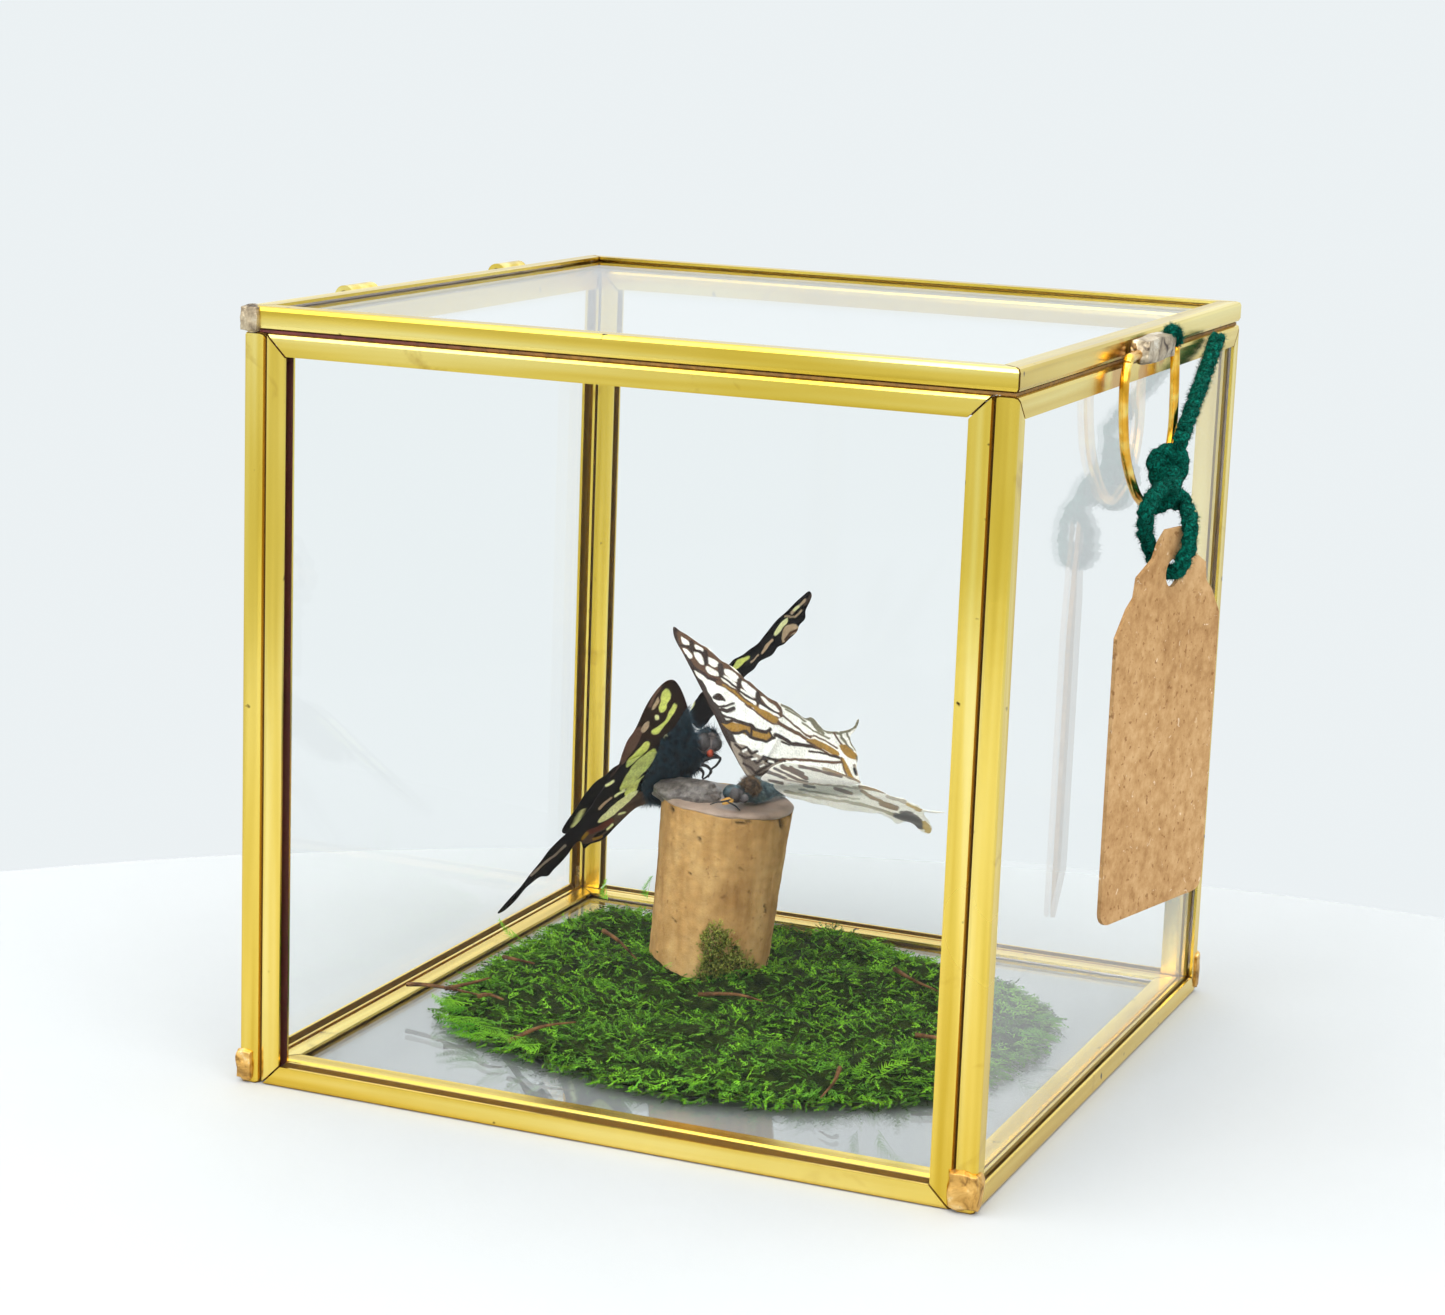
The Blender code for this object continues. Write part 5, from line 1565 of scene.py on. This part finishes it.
# Where the cork's top edge is chipped away: its direction, half its width and its depth.
CHIP_ANGLE, CHIP_HALF_ANGLE, CHIP_DEPTH = math.radians(-8), math.radians(24), 2.2 * MM
CHIP_WAY = Vector((math.cos(CHIP_ANGLE), math.sin(CHIP_ANGLE), 0))


def cork_finish():
    """Cut cork: tan with warm clouds, darker flecks, soft upright streaks and painted shade in its pits."""
    made = Finish("cut_cork", 0.88, shine=SOFT_SHINE)
    cloud = made.noise(120.0, 4.0, 0.6)
    streak = made.noise(260.0, 3.0, 0.6, where=made.stretched(1, 1, 0.16))
    fleck = made.noise(1100.0, 3.0, 0.6)
    tan = made.ramp(
        made.sum(made.times(cloud, 0.5), made.times(streak, 0.5)),
        (0.34, tone(154, 113, 64)),
        (0.5, tone(190, 148, 91)),
        (0.66, tone(212, 175, 118)),
    )
    flecked = made.mix(made.ramp(fleck, (0.62, 0.0), (0.72, 0.55)), tan, tone(120, 82, 46))
    granule = made.ramp(made.cells(560.0), (0.1, 1.0), (0.75, 0.82))
    # The pits' painted shade, kept on each point, darkens the cork's cells.
    pit_shaded = made.tinted(granule, made.attribute(PAINT))
    made.set(Base_Color=made.tinted(flecked, pit_shaded))
    made.bump(made.sum(cloud, fleck), 0.5, 0.0004)
    return made.material


class BOX_OT_cork(bpy.types.Operator):
    """Makes the cork, with its worn rim and pits, and the glue over its top"""

    bl_idname = "butterfly_box.cork"
    bl_label = "Cork and Glue"

    def execute(self, context):
        self.cork()
        self.glue()
        self.lump()
        return {"FINISHED"}

    def cork(self):
        axis = CORK_TOP - CORK_FOOT
        turn = axis.to_track_quat("Z", "Y").to_matrix().to_4x4()
        bm = bmesh.new()
        radii = {"radius1": CORK_FOOT_RADIUS, "radius2": CORK_TOP_RADIUS}
        place = Matrix.Translation((CORK_FOOT + CORK_TOP) / 2) @ turn
        bmesh.ops.create_cone(
            bm, cap_ends=True, segments=CORK_SIDES, depth=axis.length, matrix=place, **radii
        )
        upright = [edge for edge in bm.edges if abs((edge.verts[0].co - edge.verts[1].co).dot(axis)) > 1e-5]
        bmesh.ops.subdivide_edges(bm, edges=upright, cuts=CORK_LEVELS, use_grid_fill=True)
        pits = np.zeros(len(bm.verts))
        at = pixels_of([vert.co for vert in bm.verts])
        for line, width in CORK_PITS:
            pits = np.maximum(pits, np.clip(1.6 - distances(at, line) / width / 1.2, 0, 1))
        for index, vert in enumerate(bm.verts):
            part = (vert.co - CORK_FOOT).dot(axis) / axis.length_squared
            out = (vert.co - CORK_FOOT - axis * part).normalized()
            near = out.dot((CAMERA_PLACE - vert.co).normalized()) > 0
            pits[index] *= near
            rim = min(part, 1 - part) * axis.length
            worn = max(0.0, 1 - rim / (0.5 * MM)) * 0.22 * MM
            aside = out.angle(CHIP_WAY) / CHIP_HALF_ANGLE
            if part > 0.5 and aside < 1:
                ragged = 1 + 0.5 * noise.noise(vert.co * 700)
                worn += max(0.0, 1 - rim / (CHIP_DEPTH * (1 - aside**2))) * 1.5 * MM * ragged
            rough = noise.fractal(vert.co * 320, 0.7, 2.0, 3) * 0.11 * MM
            slow = noise.noise(vert.co * 60) * 0.18 * MM
            vert.co += out * (rough + slow - worn - pits[index] * 0.45 * MM)
        bmesh.ops.recalc_face_normals(bm, faces=bm.faces)
        mesh = emptied(bm, "cut_cork")
        # Painted shade: the pits and cracks are darkened, by up to 82 percent.
        keep_paint(mesh, np.tile(1 - 0.82 * pits, (3, 1)).T)
        piece("cut_cork", mesh, cork_finish(), "box", ["cork"])

    def glue(self):
        """A film over the cork's top whose wavy edge runs a little way down its side."""
        rim = CORK_TOP_RADIUS
        profile = (
            (0.0, 0.5), (0.4 * rim, 0.55), (0.75 * rim, 0.5), (0.92 * rim, 0.42), (rim - 0.2 * MM, 0.2),
            (rim + 0.08 * MM, -0.1), (rim + 0.12 * MM, -0.3), (rim + 0.06 * MM, -0.5),
            (rim - 0.4 * MM, -0.55),
        )
        bm = turned([(radius, height * MM) for radius, height in profile], CORK_SIDES)
        for vert in bm.verts:
            angle = math.atan2(vert.co.y, vert.co.x)
            round_rim = Vector((math.cos(angle), math.sin(angle), 0.4))
            run = 0.6 + 0.8 * noise.noise(round_rim * 1.6) + 0.3 * noise.noise(round_rim * 5)
            if vert.co.z < 0:
                vert.co.z *= max(0.3, run)
            else:
                vert.co.z += 0.2 * MM * noise.noise(vert.co * 300)
            short = max(0.0, 1 - abs(angle - CHIP_ANGLE) / CHIP_HALF_ANGLE)
            if vert.co.xy.length > 0.8 * rim:
                vert.co.xy *= 1 - 0.16 * min(1.0, 2 * short)
                vert.co.z = max(vert.co.z, -0.1 * MM) if short else vert.co.z
        turn = (CORK_TOP - CORK_FOOT).to_track_quat("Z", "Y").to_matrix().to_4x4()
        bm.transform(Matrix.Translation(CORK_TOP) @ turn)
        bmesh.ops.recalc_face_normals(bm, faces=bm.faces)
        piece("glue_film", bm, self.glue_finish(), "box", ["glue"])

    def glue_finish(self):
        made = Finish("set_glue", 0.35)
        cloud = made.noise(220.0, 4.0, 0.6)
        made.set(Base_Color=made.ramp(cloud, (0.32, tone(150, 128, 112)), (0.66, tone(190, 166, 148))))
        made.set(Transmission_Weight=0.3, IOR=GLUE_IOR)
        made.set(Roughness=made.ramp(cloud, (0.3, 0.28), (0.7, 0.5)))
        made.bump(made.noise(500.0, 3.0), 0.35, 0.0004)
        return made.material

    def lump(self):
        """The blob of glue at the cork's left that holds the swordtail."""
        bm = bmesh.new()
        bmesh.ops.create_icosphere(bm, subdivisions=5, radius=1.0)
        for vert in bm.verts:
            vert.co *= 1 + 0.14 * noise.fractal(vert.co * 1.7, 0.8, 2.0, 3)
        bmesh.ops.scale(bm, verts=bm.verts, vec=(6.2 * MM, 4.6 * MM, 2.6 * MM))
        bmesh.ops.translate(bm, verts=bm.verts, vec=mm(-14.8, 6.2, 39.9))
        stops = ((0.36, tone(88, 80, 76)), (0.5, tone(116, 108, 102)), (0.66, tone(146, 138, 130)))
        made = grained("grey_glue", 0.3, 800.0, stops, 0.3, 0.5)
        made.set(Transmission_Weight=0.25, IOR=GLUE_IOR)
        piece("glue_lump", bm, made.material, "box")


# --- Bodies --------------------------------------------------------------------------------------

# Each body's tail end in millimetres, its way to the head, and its radii along that way.
SWORDTAIL_PLACE = ((-31.0, 21.0, 33.2), (0.698, -0.351, 0.624))
SWORDTAIL_PROFILE = (
    (0, 0), (0.5, 0.7), (3, 1.8), (7, 2.2), (9.5, 1.8), (11, 2.4), (14, 2.8), (17.5, 2.6), (20.5, 1.9),
    (21.8, 1.3), (22.6, 1.8), (24.2, 2.1), (25.6, 1.4), (26.2, 0),
)
MAPWING_PLACE = ((1.1, 26.2, 39.2), (-0.292, -0.948, 0.100))
MAPWING_PROFILE = (
    (0, 0), (0.5, 0.5), (3, 1.1), (8, 1.4), (12, 1.3), (14, 1.8), (17, 2.1), (20, 1.8), (21.5, 1.1),
    (22.3, 1.3), (23.5, 1.5), (24.8, 0.8), (25.2, 0),
)
BODY_RINGS_MM = 1.6
BODY_SIDES = 48


def body_mesh(name, place, profile):
    """A turned body with soft rings round its abdomen, standing at its place."""
    foot, way = mm(*place[0]), Vector(place[1])
    line = smooth_route([mm(radius, 0, along) for along, radius in profile], 0.35 * MM)
    bm = turned([(max(point.x, 0), point.z) for point in line], BODY_SIDES)
    for vert in bm.verts:
        rings = 1 + 0.06 * math.cos(vert.co.z / MM * 2 * math.pi / BODY_RINGS_MM) * (vert.co.z < 9 * MM)
        lumps = 1 + 0.1 * noise.noise(vert.co * 500)
        vert.co.x *= rings * lumps
        vert.co.y *= rings * lumps
    bm.transform(Matrix.Translation(foot) @ way.to_track_quat("Z", "Y").to_matrix().to_4x4())
    bmesh.ops.recalc_face_normals(bm, faces=bm.faces)
    mesh = settled(bm, name)
    mesh.shade_smooth()
    return mesh


def hair(bend):
    """A unit hair: three-sided, tapered to a point and bent over by this many times its width."""
    bm = bmesh.new()
    spike(bm, Vector((0, 0, 0)), Vector((0, 0, 1)), 1.0, 0.5)
    tall = [edge for edge in bm.edges if abs(edge.verts[0].co.z - edge.verts[1].co.z) > 0.5]
    bmesh.ops.subdivide_edges(bm, edges=tall, cuts=1)
    for vert in bm.verts:
        vert.co.y += bend * vert.co.z**2
    return template(bm)


def fur(name, mesh, count, length, width, flow, spread, rng, keep=None):
    """Hairs all over a mesh, leaning along flow, each as a bent spike."""
    at, facing = spots_on(mesh, count, rng)
    if keep is not None:
        chosen = keep(at)
        at, facing = at[chosen], facing[chosen]
    ways = facing + np.array(flow) + rng.normal(size=at.shape) * spread
    lengths = length * rng.uniform(0.5, 1.2, len(at))
    sides = rng.normal(size=at.shape)
    shapes = [hair(bend) for bend in (2.0, -2.6, 4.5)]
    spots = places(at - facing * 0.05 * MM, ways, lengths, np.full(len(at), width), sides)
    return scattered(name, shapes, spots, rng)


def fur_finish(name, dark, light):
    made = Finish(name, 0.8, shine=SOFT_SHINE)
    made.set(Base_Color=made.ramp(made.noise(900.0, 3.0, 0.6), (0.35, tone(*dark)), (0.65, tone(*light))))
    made.set(Sheen_Weight=0.2, Sheen_Roughness=0.5)
    return made.material


def shell_finish(name, dark, light, rough, scale=700.0):
    """Chitin with a fine grain."""
    stops = ((0.32, tone(*dark)), (0.68, tone(*light)))
    return grained(name, rough, scale, stops, 0.4, 0.3).material


def beside(px, py, near):
    """The point nearest to another on the line of sight through a pixel of the photograph."""
    way = sight(px, py)
    return CAMERA_PLACE + (near - CAMERA_PLACE).dot(way) * way


def ball(bm, centre, radii, roughness=0.0, levels=3):
    """Adds a slightly lumpy ellipsoid to a bmesh."""
    made = bmesh.ops.create_icosphere(bm, subdivisions=levels, radius=1.0)["verts"]
    for vert in made:
        vert.co *= 1 + roughness * noise.noise(vert.co * 2.1 + centre * 900)
    bmesh.ops.scale(bm, verts=made, vec=radii)
    bmesh.ops.translate(bm, verts=made, vec=centre)


def limbs(routes, near, offset, radius):
    """A bmesh of thin tapered limbs along pixels of the photograph, offset from beside another point."""
    bm = bmesh.new()
    for stops in routes:
        route = smooth_route([beside(px, py, near) + offset for px, py in stops], 0.25 * MM)
        radii = [radius * (1.15 - 0.7 * i / len(route)) for i in range(len(route))]
        gather(bm, tube_mesh("limb", route, radii, sides=8))
    return bm


# Legs, palps and tongue as routes, in the photograph's pixels.
SWORDTAIL_LEGS = (
    ((704, 760), (714, 757), (721, 758), (717, 765), (712, 769), (709, 777)),
    ((702, 764), (708, 766), (712, 771), (708, 776), (703, 779)),
    ((707, 756), (715, 754), (722, 758)),
    ((700, 768), (704, 772), (703, 778)),
)
# The map butterfly's fur is teal to the right of this pixel of the photograph.
TEAL_FROM_PIXEL = 754
MAPWING_PALPS = (((734, 798), (728, 799), (722, 801)), ((733, 800), (727, 802), (723, 803)))
MAPWING_TONGUE = (
    ((733, 799), (724, 801), (717, 802), (711, 804)),
    ((727, 800), (732, 803), (737, 806), (741, 810)),
)
# Where the swordtail's navy fur covers the roots of its wings, in the photograph's pixels.
NAVY_PATCH = (
    (688, 706), (674, 728), (662, 738), (659, 750), (650, 768), (642, 784), (646, 800), (668, 806),
    (694, 792), (704, 772), (697, 750), (696, 722),
)


class BOX_OT_swordtail_body(bpy.types.Operator):
    """Makes the swordtail's furry body with its head, eyes and legs"""

    bl_idname = "butterfly_box.swordtail_body"
    bl_label = "Swordtail Body"

    def execute(self, context):
        rng = np.random.default_rng(5)
        skin = shell_finish("swordtail_skin", (6, 12, 16), (34, 50, 58), 0.6)
        mesh = body_mesh("swordtail_trunk", SWORDTAIL_PLACE, SWORDTAIL_PROFILE)
        piece("swordtail_trunk", mesh, skin, "box", ["swordtail_body"])
        navy = fur_finish("navy_fur", (6, 20, 30), (40, 70, 84))
        flow = Vector(SWORDTAIL_PLACE[1]) * -0.8
        coat = fur("swordtail_fur", mesh, 4200, 1.5 * MM, 0.11 * MM, flow, 0.35, rng)
        piece("swordtail_fur", coat, navy, "box", smooth=False)
        for wing in ("swordtail_forewing_near", "swordtail_hindwing_near"):
            source = bpy.data.objects[wing + "_scaled"].data
            patch = lambda at: within(pixels_of(at), NAVY_PATCH)
            flow = (0.25, -0.2, -0.35)
            coat = fur(wing + "_fur", source, 26000, 1.5 * MM, 0.12 * MM, flow, 0.5, rng, keep=patch)
            piece(wing + "_fur", coat, navy, "box", smooth=False)
        self.head(rng)
        return {"FINISHED"}

    def head(self, rng):
        foot, way = mm(*SWORDTAIL_PLACE[0]), Vector(SWORDTAIL_PLACE[1])
        centre = beside(709, 742, foot + way * 23.6 * MM)
        towards = (CAMERA_PLACE - centre).normalized()
        centre += towards * 0.7 * MM
        bm = bmesh.new()
        ball(bm, centre, Vector((2.15, 2.0, 2.15)) * MM, 0.06, 4)
        grey = shell_finish("swordtail_head", (44, 38, 38), (128, 116, 112), 0.45, 1500.0)
        mesh = emptied(bm, "swordtail_head")
        piece("swordtail_head", mesh, grey, "box")
        coat = fur("swordtail_head_fur", mesh, 900, 0.35 * MM, 0.05 * MM, way * -0.4, 0.3, rng)
        soot = fur_finish("head_fur", (40, 36, 36), (136, 128, 126))
        piece("swordtail_head_fur", coat, soot, "box", smooth=False)
        right, up, _ = camera_axes()
        bm = bmesh.new()
        for across, rise, radius in ((-0.7, 0.1, 1.5), (1.3, -0.3, 1.15)):
            middle = centre + (towards * 1.0 + right * across + up * rise) * MM
            ball(bm, middle, Vector((1, 1, 1.1)) * radius * MM)
        gloss = shell_finish("butterfly_eye", (28, 24, 26), (98, 92, 92), 0.25, 5200.0)
        piece("swordtail_eyes", bm, gloss, "box")
        bm = bmesh.new()
        ball(bm, beside(711, 753, centre) + towards * 1.9 * MM, Vector((0.6, 0.6, 0.7)) * MM, 0.2)
        red = shell_finish("red_palp", (120, 40, 24), (206, 88, 56), 0.5)
        piece("swordtail_palps", bm, red, "box")
        bm = limbs(SWORDTAIL_LEGS, centre, towards * 1.2 * MM, 0.3 * MM)
        black = shell_finish("black_leg", (10, 10, 12), (46, 44, 44), 0.4)
        piece("swordtail_legs", bm, black, "box")


class BOX_OT_map_body(bpy.types.Operator):
    """Makes the map butterfly's body with its eyes, palps and tongue"""

    bl_idname = "butterfly_box.map_body"
    bl_label = "Map Body"

    def execute(self, context):
        rng = np.random.default_rng(6)
        foot, way = mm(*MAPWING_PLACE[0]), Vector(MAPWING_PLACE[1])
        skin = shell_finish("mapwing_skin", (14, 24, 30), (70, 92, 98), 0.5)
        mesh = body_mesh("mapwing_trunk", MAPWING_PLACE, MAPWING_PROFILE)
        piece("mapwing_trunk", mesh, skin, "box", ["mapwing_body"])
        teal = fur_finish("teal_fur", (24, 44, 52), (120, 142, 144))
        right = lambda at: pixels_of(at)[:, 0] > TEAL_FROM_PIXEL
        coat = fur("mapwing_fur", mesh, 4200, 0.7 * MM, 0.08 * MM, way * -0.9, 0.3, rng, keep=right)
        piece("mapwing_fur", coat, teal, "box", smooth=False)
        towards = (CAMERA_PLACE - foot).normalized()
        neck = beside(751, 786, foot + way * 20 * MM) + towards * 0.8 * MM
        bm = bmesh.new()
        ball(bm, neck, Vector((1.7, 1.4, 1.5)) * MM, 0.3, 4)
        collar = emptied(bm, "mapwing_collar")
        brown = shell_finish("brown_collar", (30, 22, 18), (104, 84, 66), 0.8)
        piece("mapwing_collar", collar, brown, "box")
        coat = fur("mapwing_collar_fur", collar, 1800, 0.9 * MM, 0.06 * MM, (-0.2, -0.1, 0.2), 0.5, rng)
        mixed = fur_finish("collar_fur", (22, 18, 16), (126, 98, 66))
        piece("mapwing_collar_fur", coat, mixed, "box", smooth=False)
        head = beside(737, 795, foot + way * 23.5 * MM)
        bm = bmesh.new()
        ball(bm, head, Vector((1.5, 1.3, 1.35)) * MM, 0.1)
        ball(bm, beside(735, 794, head) + towards * 0.8 * MM, Vector((1.1, 1.1, 1.2)) * MM)
        ball(bm, beside(745, 798, head) + towards * 0.6 * MM, Vector((0.8, 0.8, 0.8)) * MM)
        piece("mapwing_head", bm, bpy.data.materials["butterfly_eye"], "box")
        bm = limbs(MAPWING_PALPS, head, towards * 1.0 * MM, 0.5 * MM)
        ochre = shell_finish("ochre_palp", (150, 96, 30), (214, 164, 78), 0.6)
        piece("mapwing_palps", bm, ochre, "box")
        bm = limbs(MAPWING_TONGUE, head, towards * 1.3 * MM, 0.2 * MM)
        piece("mapwing_tongue", bm, bpy.data.materials["black_leg"], "box")
        return {"FINISHED"}


# --- Stage ---------------------------------------------------------------------------------------

FLOOR_MIDDLE = Vector((0.076, -0.183, 0.0))
# The surroundings' light by the height of its direction, from straight down to straight up.
SKY_STOPS = ((0.0, 0.5), (0.36, 0.60), (0.5, 0.60), (0.62, 0.72), (0.8, 1.0))
SKY_STRENGTH = 1.5


class BOX_OT_stage(bpy.types.Operator):
    """Sets the camera at the photograph's angle, with a pale floor and soft light"""

    bl_idname = "butterfly_box.stage"
    bl_label = "Stage"

    def execute(self, context):
        looks = context.scene.stage_looks
        self.camera(context)
        self.floor(looks)
        self.lights(looks)
        return {"FINISHED"}

    def camera(self, context):
        data = bpy.data.cameras.new("camera")
        data.sensor_width = SENSOR_WIDTH_MM
        data.lens = FOCAL_PIXELS / PHOTO_WIDTH * SENSOR_WIDTH_MM
        data.clip_start = 0.01
        made = bpy.data.objects.new("camera", data)
        right, up, forward = camera_axes()
        turn = Matrix((right, up, -forward)).transposed().to_4x4()
        made.matrix_world = Matrix.Translation(CAMERA_PLACE) @ turn
        context.scene.collection.objects.link(made)
        context.scene.camera = made
        context.scene.view_settings.view_transform = "Standard"

    def floor(self, looks):
        bm = bmesh.new()
        bmesh.ops.create_circle(bm, cap_ends=True, segments=128, radius=looks.floor_radius)
        bmesh.ops.translate(bm, verts=bm.verts, vec=FLOOR_MIDDLE)
        mesh = emptied(bm, "floor")
        made = Finish("pale_floor", 0.8)
        tint = tuple(looks.floor)
        made.set(Base_Color=made.ramp(made.noise(14.0), (0.3, tuple(c * 0.97 for c in tint)), (0.7, tint)))
        made.bump(made.noise(900.0), 0.1, 0.0003)
        mesh.materials.append(made.material)
        floor = bpy.data.objects.new("floor", mesh)
        bpy.context.scene.collection.objects.link(floor)

    def lights(self, looks):
        world = bpy.data.worlds.new("soft_surroundings")
        world.use_nodes = True
        tree = world.node_tree
        background = tree.nodes["Background"]
        background.inputs["Strength"].default_value = SKY_STRENGTH
        place = tree.nodes.new("ShaderNodeTexCoord")
        split = tree.nodes.new("ShaderNodeSeparateXYZ")
        height = tree.nodes.new("ShaderNodeMapRange")
        height.inputs["From Min"].default_value = -1.0
        ramp = tree.nodes.new("ShaderNodeValToRGB")
        points = ramp.color_ramp.elements
        while len(points) < len(SKY_STOPS):
            points.new(0.5)
        for point, (position, level) in zip(points, SKY_STOPS):
            point.position = position
            point.color = (*(channel * level for channel in looks.sky), 1.0)
        tree.links.new(place.outputs["Generated"], split.inputs[0])
        tree.links.new(split.outputs["Z"], height.inputs["Value"])
        tree.links.new(height.outputs["Result"], ramp.inputs["Fac"])
        tree.links.new(ramp.outputs["Color"], background.inputs["Color"])
        bpy.context.scene.world = world
        for name, place, size, power in (
            ("key_light", (-0.6, -0.7, 0.9), 1.3, 9.5),
            ("top_light", (0.1, 0.2, 1.1), 1.2, 7.0),
            ("front_light", (0.1, -1.0, 0.75), 0.9, 8.5),
            ("right_light", (0.9, -0.6, 0.7), 0.9, 5.0),
        ):
            data = bpy.data.lights.new(name, "AREA")
            data.size = size
            data.energy = power
            made = bpy.data.objects.new(name, data)
            aim = (Vector((0, 0, 0.05)) - Vector(place)).to_track_quat("-Z", "Y")
            made.matrix_world = Matrix.Translation(place) @ aim.to_matrix().to_4x4()
            bpy.context.scene.collection.objects.link(made)


# --- Add-on --------------------------------------------------------------------------------------

LOOKS = {
    "box_looks": BoxLooks,
    "wool_looks": WoolLooks,
    "moss_looks": MossLooks,
    "stage_looks": StageLooks,
}
# The order matters: the swordtail's body puts fur on its wings, and the map body takes its finishes.
STEPS = (
    BOX_OT_stage, BOX_OT_box, BOX_OT_ring, BOX_OT_yarn, BOX_OT_tag, BOX_OT_solder, BOX_OT_swordtail_wings,
    BOX_OT_map_wings, BOX_OT_moss, BOX_OT_cork, BOX_OT_swordtail_body, BOX_OT_map_body,
)


class BOX_PT_steps(bpy.types.Panel):
    """Lists the steps that finish the box"""

    bl_label = "Butterfly Box"
    bl_space_type = "VIEW_3D"
    bl_region_type = "UI"
    bl_category = "Butterfly Box"

    def draw(self, context):
        for step in STEPS:
            self.layout.operator(step.bl_idname)
        for name, group in LOOKS.items():
            column = self.layout.column()
            for key in group.__annotations__:
                column.prop(getattr(context.scene, name), key)


def register():
    for group in LOOKS.values():
        bpy.utils.register_class(group)
    for step in STEPS:
        bpy.utils.register_class(step)
    bpy.utils.register_class(BOX_PT_steps)
    for name, group in LOOKS.items():
        setattr(bpy.types.Scene, name, PointerProperty(type=group))


def unregister():
    for name in LOOKS:
        delattr(bpy.types.Scene, name)
    bpy.utils.unregister_class(BOX_PT_steps)
    for kind in reversed((*LOOKS.values(), *STEPS)):
        bpy.utils.unregister_class(kind)


def main():
    register()
    for step in STEPS:
        family, action = step.bl_idname.split(".")
        getattr(getattr(bpy.ops, family), action)()


if __name__ == "__main__":
    main()
